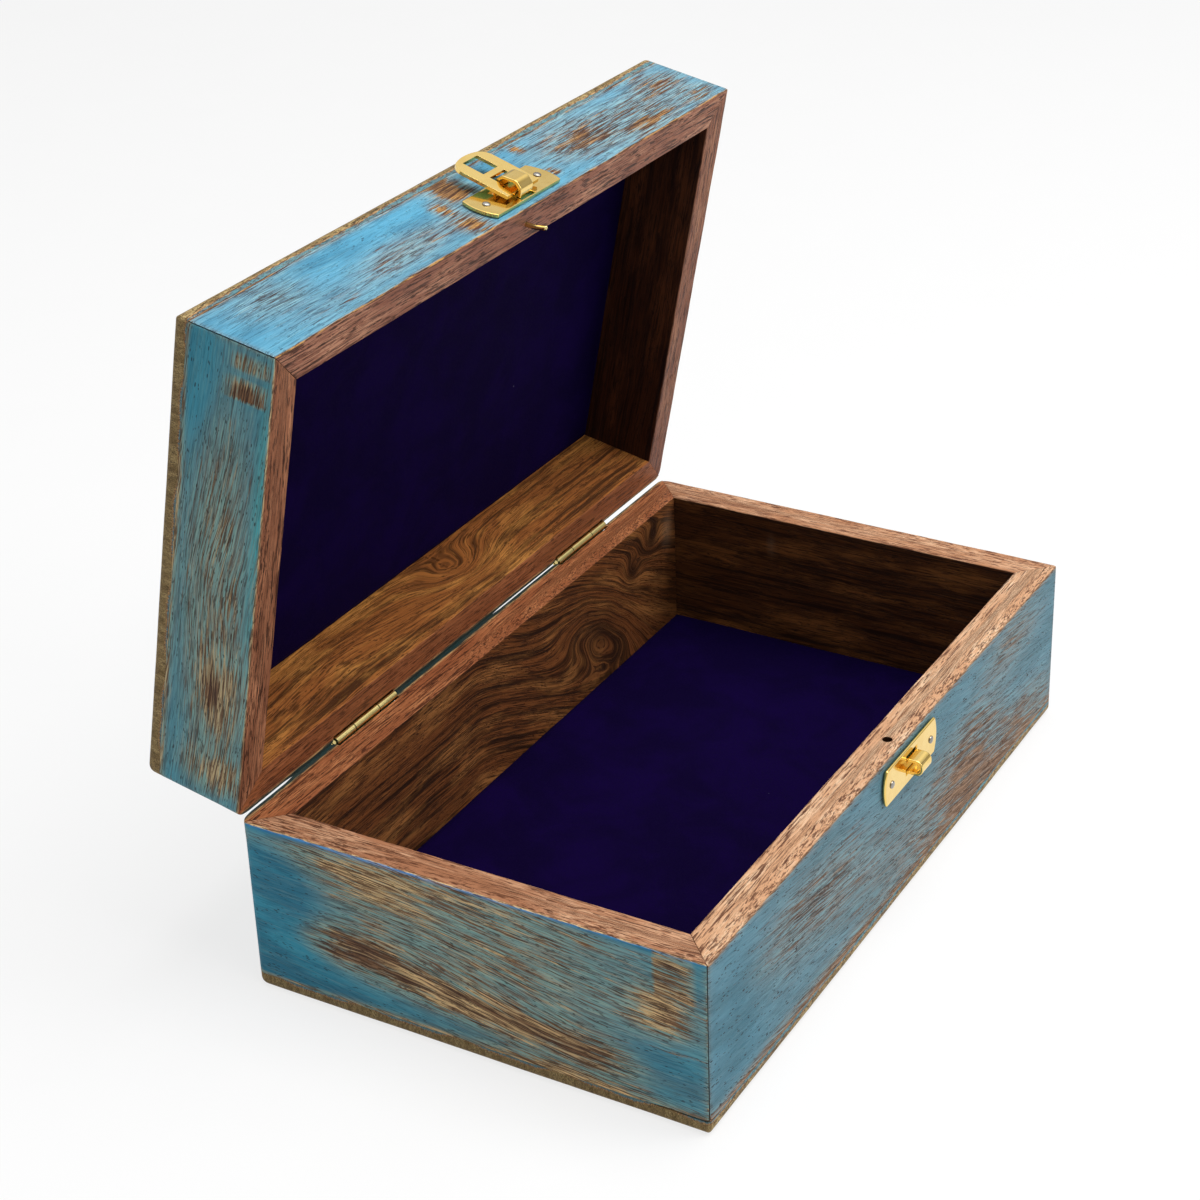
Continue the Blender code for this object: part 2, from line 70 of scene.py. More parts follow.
openTurn = (
    Matrix.Translation((0, chest["axisY"], chest["axisZ"]))
    @ Matrix.Rotation(-math.radians(chest["openAngle"]), 4, "X")
    @ Matrix.Translation((0, -chest["axisY"], -chest["axisZ"]))
)
bodyOf = {node: body for body, nodes in frame["record"]["behaviour"]["bodies"].items() for node in nodes}


# Points times a 4x4 matrix, rows of x y z
def turned(points, matrix):
    m = np.array(matrix)
    return points @ m[:3, :3].T + m[:3, 3]


def meshPoints(piece):
    points = np.empty(len(piece.data.vertices) * 3)
    piece.data.vertices.foreach_get("co", points)
    return points.reshape(-1, 3)


# A node's box with the lid closed: the lid's nodes are turned back about the hinge first
def closedBox(node):
    points = meshPoints(frame["nodes"][node])
    if bodyOf[node] != "base":
        points = turned(points, openTurn.inverted())
    return points.min(0), points.max(0)


# A smooth step from 0 at low to 1 at high: 3 t^2 - 2 t^3
def ease(value, low, high):
    t = np.clip((value - low) / (high - low), 0, 1)
    return t * t * (3 - 2 * t)


# Unit vectors at angles counted from X towards Y
def circle(angle):
    return np.stack([np.cos(angle), np.sin(angle)], -1)


def newObject(name, data):
    thing = bpy.data.objects.new(name, data)
    bpy.context.scene.collection.objects.link(thing)
    return thing


# Smooth faces, with edges sharper than the angle in degrees kept
def shade(mesh, angle):
    mesh.polygons.foreach_set("use_smooth", [True] * len(mesh.polygons))
    if angle:
        mesh.set_sharp_from_angle(angle=math.radians(angle))


def putMesh(name, points, faces, smooth=35):
    mesh = bpy.data.meshes.new(name)
    mesh.from_pydata(points.reshape(-1, 3).tolist(), [], faces)
    mesh.update()
    shade(mesh, smooth)
    return newObject(name, mesh)


# Quads of a grid of rows by columns; wrap joins the last column to the first
def gridFaces(rows, columns, wrap=False):
    i, j = np.meshgrid(np.arange(rows - 1), np.arange(columns - (not wrap)), indexing="ij")
    a, b = i * columns + j, i * columns + (j + 1) % columns
    return np.stack([a, b, b + columns, a + columns], -1).reshape(-1, 4)


# The volume inside quads, six times over: the sum of p0 . (p1 x p2) + p0 . (p2 x p3), about their middle
def sixVolumes(points, quads):
    points = points.reshape(-1, 3)
    p = (points - points.mean(0))[quads]
    return float((p[:, 0] * (np.cross(p[:, 1], p[:, 2]) + np.cross(p[:, 2], p[:, 3]))).sum())


# A closed tube from rings of points, capped at both ends, its faces outwards
def tubePiece(name, rings, smooth=35):
    rows, columns = rings.shape[:2]
    quads = gridFaces(rows, columns, wrap=True)
    last = (rows - 1) * columns
    faces = quads.tolist() + [list(range(columns))[::-1], list(range(last, last + columns))]
    if sixVolumes(rings, quads) < 0:
        faces = [face[::-1] for face in faces]
    return putMesh(name, rings, faces, smooth)


def dress(piece, material):
    piece.data.materials.clear()
    piece.data.materials.append(material)


# A new piece takes the place of one node, on its body
def settled(piece, node, material):
    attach(piece, bodyOf[node])
    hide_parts(node)
    dress(piece, material)


# Thickness grows inwards, away from the faces' front
def thicken(piece, thick):
    solid = piece.modifiers.new("thickness", "SOLIDIFY")
    solid.thickness, solid.offset = thick, -1


# Cuts the cutter out of the piece and throws the cutter away
def cut(piece, cutter):
    change = piece.modifiers.new("cut", "BOOLEAN")
    change.operation, change.solver, change.object = "DIFFERENCE", "EXACT", cutter
    bpy.context.view_layer.update()
    done = bpy.data.meshes.new_from_object(piece.evaluated_get(bpy.context.evaluated_depsgraph_get()))
    piece.modifiers.clear()
    old, piece.data = piece.data, done
    done.name = piece.name
    bpy.data.meshes.remove(old)
    bpy.data.objects.remove(cutter)


def setPoints(piece, points):
    piece.data.vertices.foreach_set("co", np.ascontiguousarray(points).ravel())
    piece.data.update()


# Lid pieces are made with the lid closed, then turned open
def openLid(piece):
    setPoints(piece, turned(meshPoints(piece), openTurn))


def setAttributes(piece, attributes):
    for name, values in attributes.items():
        isVector = values.ndim == 2
        store = piece.data.attributes.new(name, "FLOAT_VECTOR" if isVector else "FLOAT", "POINT")
        store.data.foreach_set("vector" if isVector else "value", np.ascontiguousarray(values, float).ravel())


# Each input is a socket to link or a value to set
def setInputs(node, inputs):
    for key, value in inputs.items():
        if isinstance(value, bpy.types.NodeSocket):
            node.id_data.links.new(value, node.inputs[key])
        else:
            node.inputs[key].default_value = value


def addNode(tree, kind, inputs=None, **settings):
    node = tree.nodes.new("ShaderNode" + kind)
    for key, value in settings.items():
        setattr(node, key, value)
    setInputs(node, inputs or {})
    return node


# A node in the tree of the sockets that it reads
def joined(kind, inputs, **settings):
    tree = next(value.id_data for value in inputs.values() if isinstance(value, bpy.types.NodeSocket))
    return addNode(tree, kind, inputs, **settings).outputs


def maths(operation, *values):
    return joined("Math", dict(enumerate(values)), operation=operation)[0]


def times(first, second):
    return maths("MULTIPLY", first, second)


# first times second plus third
def scaled(first, second, third):
    return maths("MULTIPLY_ADD", first, second, third)


def stretched(vector, scale, offset=(0, 0, 0)):
    return joined("Mapping", {"Vector": vector, "Scale": scale, "Location": offset})[0]


def noise(vector, scale=(1, 1, 1), detail=3, roughness=0.55, distortion=0.0, offset=(0, 0, 0)):
    inputs = {"Vector": stretched(vector, scale, offset), "Scale": 1.0, "Detail": detail}
    inputs |= {"Roughness": roughness, "Distortion": distortion}
    return joined("TexNoise", inputs)["Fac"]


def smoothed(value, low, high, start=0.0, end=1.0):
    inputs = {"Value": value, "From Min": low, "From Max": high, "To Min": start, "To Max": end}
    return joined("MapRange", inputs, interpolation_type="SMOOTHSTEP")["Result"]


# Sockets 6, 7 and 2 are a Mix node's two colours and its result
def mixed(factor, first, second):
    first, second = ((*c, 1) if isinstance(c, tuple) else c for c in (first, second))
    return joined("Mix", {0: factor, 6: first, 7: second}, data_type="RGBA")[2]


def objectPlace(tree):
    return addNode(tree, "TexCoord").outputs["Object"]


def newGroup(name, inputs, outputs):
    group = bpy.data.node_groups.new(name, "ShaderNodeTree")
    for title, kind in inputs.items():
        group.interface.new_socket(title, in_out="INPUT", socket_type="NodeSocket" + kind)
    for title, kind in outputs.items():
        group.interface.new_socket(title, in_out="OUTPUT", socket_type="NodeSocket" + kind)
    return group, group.nodes.new("NodeGroupInput").outputs, group.nodes.new("NodeGroupOutput")


def newMaterial(name):
    material = bpy.data.materials.new(name)
    material.use_nodes = True
    tree = material.node_tree
    return material, tree, tree.nodes["Principled BSDF"]


# Joins colour, roughness and the bump of a height to the shader
def finish(shader, colour, rough, height=None, strength=0.0, distance=0.0):
    setInputs(shader, {"Base Color": colour, "Roughness": rough})
    if height:
        bump = joined("Bump", {"Strength": strength, "Distance": distance, "Height": height})
        setInputs(shader, {"Normal": bump[0]})


# Wood: growth lines, fibres and pores of a board whose grain runs along X, in millimetres
figureParts = ("Lines", "Fibres", "Pores", "Scratches", "Ridges", "Commas", "Clouds")


def makeWoodGroup():
    group, enter, leave = newGroup("woodFigure", {"Place": "Vector"}, dict.fromkeys(figureParts, "Float"))
    place = enter["Place"]
    wander = noise(place, (0.022, 0.1, 0.1), 3)
    shift = joined("CombineXYZ", {"Y": times(wander, 3.5)})[0]
    place = joined("VectorMath", {0: place, 1: shift}, operation="ADD")[0]
    lines = noise(place, (0.012, 0.75, 0.5), 5, 0.66)
    fibres = noise(place, (0.1, 2.9, 2.4), 5, 0.68)

    def dashes(scale, low, high, largest, offset):
        cells = joined("TexVoronoi", {"Vector": stretched(place, scale, offset), "Scale": 1.0})
        size = noise(place, (0.2, 0.6, 0.6), 3, offset=offset)
        reach = smoothed(size, low, high, 0.0, largest)
        inside = maths("SUBTRACT", reach, cells["Distance"])
        return smoothed(inside, -0.03, 0.1)

    pores = dashes((0.5, 2.3, 2.0), 0.36, 0.66, 0.34, (7, 3, 1))
    scratches = dashes((0.13, 2.4, 2.0), 0.34, 0.62, 0.4, (19, 8, 23))
    clouds = noise(place, (0.03, 0.12, 0.12), 5, 0.62, offset=(31, 17, 5))
    # thin contour lines of a slow noise, broken where a second one is low
    swell = noise(place, (0.014, 0.42, 0.35), 4, 0.55, offset=(3, 41, 13))
    turns = maths("FRACT", times(swell, 11.0))
    away = maths("ABSOLUTE", maths("SUBTRACT", turns, 0.5))
    gaps = noise(place, (0.09, 0.8, 0.8), 3, offset=(2, 2, 9))
    ridges = times(smoothed(away, 0.14, 0.03), smoothed(gaps, 0.42, 0.56))
    commas = dashes((0.21, 1.6, 1.4), 0.42, 0.6, 0.4, (5, 61, 33))
    setInputs(leave, dict(zip(figureParts, (lines, fibres, pores, scratches, ridges, commas, clouds))))
    return group


# Paint: how much of it is left, from the worn attribute and the distance inside its border in millimetres
def makePaintGroup():
    inputs = {"Place": "Vector", "Worn": "Float", "Inside": "Float", "Fibres": "Float", "Softness": "Float"}
    group, enter, leave = newGroup("paintLeft", inputs, {"Cover": "Float", "Streaks": "Float"})
    place = enter["Place"]
    ragged = noise(place, (0.1, 0.45, 0.45), 7, 0.68)
    border = scaled(maths("SUBTRACT", ragged, 0.5), 1.6, enter["Inside"])
    edge = smoothed(border, -0.15, 0.3)
    broad = noise(place, (0.05, 0.36, 0.36), 6, 0.66, offset=(3, 9, 2))
    streaks = noise(place, (0.085, 1.9, 1.9), 6, 0.7, offset=(1, 5, 8))
    level = scaled(broad, 0.75, times(streaks, 0.8))
    level = scaled(enter["Fibres"], 0.6, level)
    level = maths("SUBTRACT", level, 0.575)
    need = scaled(enter["Worn"], 0.72, 0.14)
    spare = maths("DIVIDE", maths("SUBTRACT", level, need), enter["Softness"])
    left = smoothed(spare, -1.0, 1.0)
    setInputs(leave, {"Cover": times(edge, left), "Streaks": streaks})
    return group


woodFigure = makeWoodGroup()
paintLeft = makePaintGroup()

# Colours are linear; rim and inner go from light to dark. A board's own look overrides these
woodLook = {
    "paintDeep": (0.024, 0.19, 0.3),
    "paintMid": (0.042, 0.32, 0.46),
    "paintPale": (0.2, 0.44, 0.46),
    "paintThin": (0.14, 0.31, 0.32),
    "paintTintAndShade": (0.07, 0.46, 0.52),
    "bareLight": (0.66, 0.4, 0.17),
    "bareDark": (0.2, 0.1, 0.05),
    "brownLight": (0.26, 0.13, 0.06),
    "brownDark": (0.06, 0.028, 0.018),
    "rim": ((0.88, 0.54, 0.33), (0.56, 0.26, 0.13), (0.13, 0.04, 0.018)),
    "inner": ((0.5, 0.205, 0.06), (0.23, 0.075, 0.022), (0.028, 0.01, 0.004)),
    "paleSpot": (0.3, 0.2, 0.13),
    "pore": (0.03, 0.022, 0.022),
    "paintPores": 0.75,
    "paintScratches": 0.1,
    "softness": 0.075,
    "seeThrough": 0.8,
    "relief": 0.8,
    "reliefDepth": 0.00016,
    "gloss": 0.15,
    "rimCommas": 0.85,
    "paintFibres": 0.75,
}


def woodMaterial(name, look):
    look = woodLook | look
    material, tree, shader = newMaterial(name)

    def attribute(title, output="Fac"):
        return addNode(tree, "Attribute", attribute_name=title).outputs[output]

    # lays tints over a colour, each where its mask passes from low to high and as far as its share
    def layered(colour, *layers):
        for mask, low, high, share, tint in layers:
            colour = mixed(smoothed(mask, low, high, 0.0, share), colour, tint)
        return colour

    place = attribute("grain", "Vector")
    titles = ("worn", "brownAndShade", "painted", "inside", "tintAndShade")
    worn, brownAndShade, painted, inside, tintAndShade = (attribute(title) for title in titles)
    figure = joined("Group", {"Place": place}, node_tree=woodFigure)
    lines, fibres, pores, scratches, ridges, commas, clouds = (figure[title] for title in figureParts)
    shares = {"Place": place, "Worn": worn, "Inside": painted, "Fibres": fibres, "Softness": look["softness"]}
    paint = joined("Group", shares, node_tree=paintLeft)
    cover, streaks = paint["Cover"], paint["Streaks"]
    # bare wood under the paint
    bare = layered(look["bareDark"], (fibres, 0.43, 0.56, 1.0, look["bareLight"]))
    dull = layered(look["brownDark"], (fibres, 0.43, 0.6, 1.0, look["brownLight"]))
    browned = scaled(maths("SUBTRACT", lines, 0.5), 2.2, brownAndShade)
    under = mixed(smoothed(browned, 0.15, 0.75), bare, dull)
    marks = maths("MAXIMUM", pores, scratches)
    marks = maths("MAXIMUM", marks, ridges)
    under = mixed(times(marks, 0.75), under, look["brownDark"])
    # the paint's own tones run along the brush, smooth where it is thick
    lean = smoothed(worn, 0.08, 0.42)
    strokes = scaled(lean, look["paintFibres"], 0.12)
    deep, pale = look["paintDeep"], look["paintPale"]
    tone = layered(deep, (clouds, 0.38, 0.6, 1.0, look["paintMid"]), (streaks, 0.46, 0.66, strokes, pale))
    tone = layered(tone, (fibres, 0.52, 0.38, strokes, deep))
    tone = mixed(times(lean, 0.65), tone, look["paintThin"])
    tone = layered(tone, (fibres, 0.54, 0.64, strokes, pale))
    # a band of other paint along some rims; on the back walls the band is near black, painted shade in the
    # crack
    tone = mixed(tintAndShade, tone, look["paintTintAndShade"])
    cracks = maths("MAXIMUM", scratches, ridges)
    cracks = times(cracks, scaled(lean, 0.7, look["paintScratches"]))
    tone = mixed(cracks, tone, look["brownDark"])
    tone = mixed(times(pores, look["paintPores"]), tone, look["pore"])
    # thin paint lets the wood's fibres through
    grain = scaled(fibres, 0.6, times(streaks, 0.4))
    clear = times(lean, look["seeThrough"])
    clear = times(smoothed(grain, 0.57, 0.42), clear)
    outer = mixed(times(cover, maths("SUBTRACT", 1.0, clear)), under, tone)
    # the bare rim
    light, middle, dark = look["rim"]
    rim = layered(middle, (clouds, 0.38, 0.62, 1.0, light), (fibres, 0.54, 0.45, 0.9, middle))
    rim = layered(rim, (streaks, 0.495, 0.405, 0.88, dark))
    rim = mixed(times(ridges, 0.8), rim, dark)
    dots = maths("MAXIMUM", times(pores, 0.4), commas)
    rim = mixed(times(dots, look["rimCommas"]), rim, dark)
    # the dark inside
    light, middle, dark = look["inner"]
    inner = layered(dark, (lines, 0.4, 0.52, 1.0, middle), (clouds, 0.46, 0.68, 0.75, light))
    inner = layered(inner, (streaks, 0.54, 0.7, 0.5, light), (fibres, 0.55, 0.38, 0.7, dark))
    inner = mixed(times(marks, 0.8), inner, dark)
    # darker at the listed inner shades, and in the pin's hole as painted shade
    inner = mixed(smoothed(brownAndShade, 0.0, 1.0), inner, dark)
    # paler at the listed spots on the inner faces
    inner = mixed(tintAndShade, inner, look["paleSpot"])
    isOuter = smoothed(painted, -0.6, -0.2)
    isInner = smoothed(inside, -0.15, 0.25)
    colour = mixed(isOuter, rim, outer)
    colour = mixed(isInner, colour, inner)
    shown = times(cover, isOuter)
    height = scaled(shown, 0.4, times(fibres, 0.6))
    height = scaled(marks, -0.5, height)
    rough = smoothed(streaks, 0.3, 0.7, 0.45, 0.62)
    rough = scaled(marks, 0.2, rough)
    finish(shader, colour, rough, height, look["relief"], look["reliefDepth"])
    setInputs(shader, {"Specular IOR Level": look["gloss"]})
    return material


# How far the outer face has moved in at run s from a corner of radius r: r - sqrt(r^2 - (r - s)^2)
def cornerInset(s, r):
    return r - np.sqrt(np.clip(r * r - np.clip(r - s, 0, r) ** 2, 0, None))


# The run where the mitre cuts depth d: s = inset(s) + d (1 - inset(s) / wall), by halving substitution
def mitreRun(d, r, halvings=50):
    s = np.maximum(d, r * (1 - math.sqrt(0.5)))
    for _ in range(halvings):
        inset = cornerInset(s, r)
        s = 0.5 * s + 0.5 * (inset + d * (1 - inset / chest["wall"]))
    return s


# Hand-sanded unevenness of an outer face, a few slow sine waves of its place, always inward
def handUneven(x, y, z):
    wave = np.sin(71 * x + 3 * np.sin(40 * z) + 1.3) + np.sin(113 * y + 60 * z)
    return chest["uneven"] * (2.6 + (wave + 0.6 * np.sin(290 * (x + y) + 150 * z)))


# Each side's start corner and way along it, its way inward, its size and the corners it runs between
sides = {
    "front": ((-0.5, -0.5), (1, 0), (0, 1), "length", "frontCorner", "frontCorner"),
    "right": ((0.5, -0.5), (0, 1), (-1, 0), "depth", "frontCorner", "backCorner"),
    "back": ((0.5, 0.5), (-1, 0), (0, -1), "length", "backCorner", "backCorner"),
    "left": ((-0.5, 0.5), (0, -1), (1, 0), "depth", "backCorner", "frontCorner"),
}


# A wall's section as depth and height: up the outer face, over the rounded rim, down the inside
def wallSection(height, e):
    wall = chest["wall"]
    outer = np.append(np.linspace(0, height - e - 0.0003, int(height / chest["wallStep"])), height - e)
    angle = np.linspace(0, math.pi / 2, 5)[1:]
    arcD, arcH = e - e * np.cos(angle), height - e + e * np.sin(angle)
    across = np.linspace(e, wall - e, 9)[1:-1]
    inner = np.linspace(height - e, 0, int(height / chest["innerStep"]))
    d = np.concatenate([np.zeros(len(outer)), arcD, across, wall - arcD[::-1], np.full(len(inner), wall)])
    h = np.concatenate([outer, arcH, np.full(len(across), height), arcH[::-1], inner])
    return d, h


# The back rims flare into lips that close the crack between lid and base, but not at the hinges:
# pairs of X and the lip's depth, read between them in straight lines, and how far below the rim it starts
# to grow and is full
lips = {
    "along": [(-0.1, 0), (-0.097, 0.0005), (-0.083, 0.0005), (-0.079, 0.0009), (-0.0632, 0.0009), (-0.063, 0)]
    + [(-0.037, 0), (-0.0368, 0.0009), (0.009, 0.0009), (0.013, 0.00062), (0.0412, 0.00062), (0.042, 0)],
    "fade": 0.006,
    "full": 0.0006,
}


# A mitred wall: its section carried along the run, each depth ending at its mitre,
# squeezed in where the corner is rounded
def wallPiece(name, side, seam, rim, mitreGap):
    origin, along, inward, size, first, last = sides[side]
    origin = np.array(origin) * (chest["length"], chest["depth"])
    length, wall, height, sign = chest[size], chest["wall"], abs(rim - seam), 1 if rim > seam else -1
    d, h = wallSection(height, chest["backRimEdge" if side == "back" else "rimEdge"])
    r0, r1 = chest[first], chest[last]
    s0, s1 = mitreRun(d, r0) + mitreGap[0], mitreRun(d, r1) + mitreGap[1]
    near = np.array([0, 0.0004, 0.0009, 0.0015, 0.0022, 0.003]) / length  # finer at the corners
    after = 0.0042 / length
    t = np.linspace(after, 1 - after, int(length / chest["wallStep"]))
    s = s0 + (length - s0 - s1) * np.concatenate([near, t, 1 - near[::-1]])[:, None]
    inset = np.maximum(cornerInset(s, r0), cornerInset(length - s, r1))
    depth = inset + d * (1 - inset / wall)
    z = seam + sign * np.broadcast_to(h, s.shape)
    if side == "left" and sign > 0:
        opened = ease(s, chest["openSeamFrom"], chest["openSeamFrom"] + chest["openSeamRun"])
        z = z + chest["openSeam"] * opened * ease(-h, -chest["openSeamHeight"], 0) * (d == 0)
    x = origin[0] + along[0] * s + inward[0] * depth
    y = origin[1] + along[1] * s + inward[1] * depth
    push = handUneven(x, y, z) * (1 - d / wall)
    lower = 1.4 + np.sin(230 * s + 1) + 0.4 * np.sin(900 * s)
    lower = chest["uneven"] * lower * ease(h, height * 0.97, height)
    if side == "back":
        lip = np.interp(x, *np.array(lips["along"]).T) * (1 - d / wall)
        flare = ease(h, height - lips["fade"], height - lips["full"])
        push = push * (1 - flare) - lip * flare
        lower = lower * ease(d, 0, 0.004)
    rings = np.stack([x + inward[0] * push, y + inward[1] * push, z - sign * lower], -1)
    return tubePiece(name, rings)


# The outline of the chest from above, drawn in by inset, walked round from the front right corner, with
# its outward normals: an arc at each corner, whose radius shrinks with the inset, then a straight side
def plan(inset=0.0):
    half = np.array([chest["length"], chest["depth"]]) / 2 - inset
    corners = ((1, -1, "frontCorner"), (1, 1, "backCorner"), (-1, 1, "backCorner"), (-1, -1, "frontCorner"))
    arcs, points, normals = [], [], []
    for quarter, (x, y, corner) in enumerate(corners):
        r = max(chest[corner] - inset, chest["leastCorner"])
        way = circle(math.pi / 2 * (quarter - 1 + np.linspace(0, 1, 7)))
        arcs.append(((half - r) * (x, y) + r * way, way))
    for quarter, (arc, way) in enumerate(arcs):
        after, nextWay = arcs[(quarter + 1) % 4]
        count = int(chest["length" if quarter % 2 else "depth"] / chest["boardStep"])
        share = np.linspace(0, 1, count + 1)[1:-1, None]
        points += [arc, arc[-1] + (after[0] - arc[-1]) * share]
        normals += [way, nextWay[:1].repeat(count - 1, 0)]
    return np.concatenate(points), np.concatenate(normals)


# A board that closes the walls: the outline drawn in to its middle on both faces, and rounded
# to the outer edge radius round the side away from the walls
def boardPiece(name, seam, face):
    sign, thick, r = (1 if face > seam else -1), abs(face - seam), chest["outerEdge"]
    angle = np.linspace(0, math.pi / 2, 9)
    inner, outer = np.linspace(0.03, 1, 30), np.linspace(1, 0.03, 45)[1:]
    scale = np.concatenate([inner, np.ones(12), outer])
    inset = np.concatenate([np.zeros(33), r - r * np.cos(angle), np.full(len(outer), r)])
    level = np.concatenate([np.zeros(30), np.array([0.15, 0.5, 0.9]) * (thick - r)])
    level = np.concatenate([level, thick - r + r * np.sin(angle), np.full(len(outer), thick)])
    flat = np.stack([plan(i)[0] * share for i, share in zip(inset, scale)])
    z = seam + sign * np.broadcast_to(level[:, None], flat.shape[:2])
    push = handUneven(flat[..., 0], flat[..., 1], z) * (scale[:, None] >= 0.999)
    flat = flat - plan()[1] * push[..., None]
    return tubePiece(name, np.dstack([flat, z]))


# Patches are soft ellipses: along, distance from the rim and two radii in mm, strength, and slope if any
def patches(s, e, spots):
    total = np.zeros(s.shape)
    for along, below, wide, high, strength, *slope in spots:
        u, v = (s - along) / wide, (e - below - (slope or [0])[0] * (s - along)) / high
        total += strength * np.exp(-(u * u + v * v))
    return total


# Where the grain bends: each bend adds amount exp(-(u^2 + v^2)) to the height, and rings close round it
# where the amount is larger than its height
def bentHeight(s, e, bends):
    total = e.copy()
    for along, below, wide, high, amount, tilt in bends:
        u, v = (s - along) / wide, (e - below - tilt * (s - along)) / high
        total += amount * np.exp(-(u * u) - v * v)
    near = ease(np.abs(total - e), 3, 10)  # a wobble keeps the rings from being perfect
    return total + near * (0.8 * np.sin(s / 5.1 + 0.4 * e) + 0.4 * np.sin(s / 2.6 - e / 3.3 + 1))


# How far each board's grain is from the last one's, and a distance outside every border, in mm
grainShift = (311.0, 57.0)
outside = -10.0
# A wall's wear, grain and borders where its own look gives none
wallLook = {
    "slope": 0.0,
    "worn": 0.1,
    "patches": [],
    "bands": [],
    "cornerWear": 0.25,
    "cornerReach": 0.7,
    "rimWear": 0.2,
    "rimReach": 0.6,
    "footWear": 0.0,
    "footReach": 0.7,
    "browns": [],
    "bends": [],
    "innerShades": [],
    "innerBends": [],
    "innerSweep": (0, 0),
    "tintAndShade": [],
    "paleSpots": [],
    "spill": 0.0,
    "spills": [],
}


# What a wall's material reads: the grain's place, wear, and signed distances inside paint and stain, in mm
def dressWall(piece, side, seam, rim, look, number):
    look = wallLook | look
    origin, along, inward, size, _, _ = sides[side]
    points = meshPoints(piece)
    plane = points[:, :2] - np.array(origin) * (chest["length"], chest["depth"])
    s, d = 1000 * plane @ along, 1000 * plane @ inward
    e = 1000 * np.abs(rim - points[:, 2])
    length, wall = 1000 * chest[size], 1000 * chest["wall"]
    isIn = ease(d, 3.0, 6.0)
    height = bentHeight(s, e, look["bends"]) * (1 - isIn) + bentHeight(s, e, look["innerBends"]) * isIn
    start, fall = look["innerSweep"]  # from there on the inner grain falls away
    before = np.clip(start - s, 0, None)
    height = height + look["slope"] * s * (1 - isIn) - fall * before**2 / (before + 12) * isIn
    worn = look["worn"] + patches(s, e, look["patches"])
    for start, low, end, high, strength in look["bands"]:
        box = ease(s, start - 0.15, start + 0.15) * (1 - ease(s, end - 2, end + 1))
        worn += strength * box * ease(e, low - 1, low + 1) * (1 - ease(e, high - 2, high + 2))
    corner = np.minimum(s, length - s)
    for part, near in (("corner", corner), ("rim", e), ("foot", 1000 * abs(rim - seam) - e)):
        worn += look[part + "Wear"] * np.exp(-near / look[part + "Reach"])
    keys = ("browns", "innerShades", "tintAndShade", "paleSpots")
    browns, shades, tintAndShade, paleSpots = (patches(s, e, look[key]) for key in keys)
    # The pin's hole takes the darkest inner stain: painted shade in the recess
    hole = np.hypot(points[:, 0] - pin["x"], points[:, 1] - pin["holeY"]) < pin["hole"] * 1.2
    hole = hole & (e > 0.15) & (side == "front") & (rim > seam)
    spill = look["spill"] + patches(s, e * 0, look["spills"])
    isOut = d < wall / 2
    inside = np.where(d > wall / 2, e - (wall - d) - 0.1, outside)
    values = {
        "grain": np.stack([s + grainShift[0] * number, height + grainShift[1] * number, d], -1),
        "worn": worn * (d < 4),
        "brownAndShade": np.where(d < 0.6 * wall, browns, shades) + hole,
        "tintAndShade": np.clip(np.where(isOut, tintAndShade, paleSpots), 0, 1),
        "painted": np.where(isOut & ~hole, e - d + spill, outside),
        "inside": np.where(hole, -outside, inside),
    }
    setAttributes(piece, values)


# What a board's material reads: paint on the face and above a bare strip along the side, in mm
def dressBoard(piece, face, look, number):
    points = meshPoints(piece)
    x, y = 1000 * points[:, 0], 1000 * points[:, 1]
    level = 1000 * np.abs(face - points[:, 2])
    none = np.full(len(x), outside)
    border = np.minimum(500 * chest["length"] - np.abs(x), 500 * chest["depth"] - np.abs(y))
    short = np.where(level > 0.25, 5, 1)  # the side shows speckled end grain
    along = x + grainShift[0] * number
    onLeft = ease(-x, 95, 101)
    strip = look["strip"] + (look["leftStrip"] - look["strip"]) * onLeft
    wave = np.sin(y / 4.3 + 1) + 0.6 * np.sin(y / 2.1)
    strip = strip + 0.35 * np.sin(x / 9) * (1 - onLeft) + 0.45 * wave * onLeft
    over = border - look["faceBorder"] if "faceBorder" in look else none
    painted = np.maximum(np.where(level > 0.02, level - strip, over), np.where(level < 1.2, over, none))
    values = {
        "grain": np.stack([along * short, level + grainShift[1] * number, y * short], -1),
        "painted": np.maximum(painted, -1.5),
        "worn": 0.28 + 0.2 * np.exp(-border / 3) * (level < 0.5),
        "brownAndShade": np.full(len(x), 0.25),
        "tintAndShade": np.zeros(len(x)),
        "inside": none,
    }
    setAttributes(piece, values)
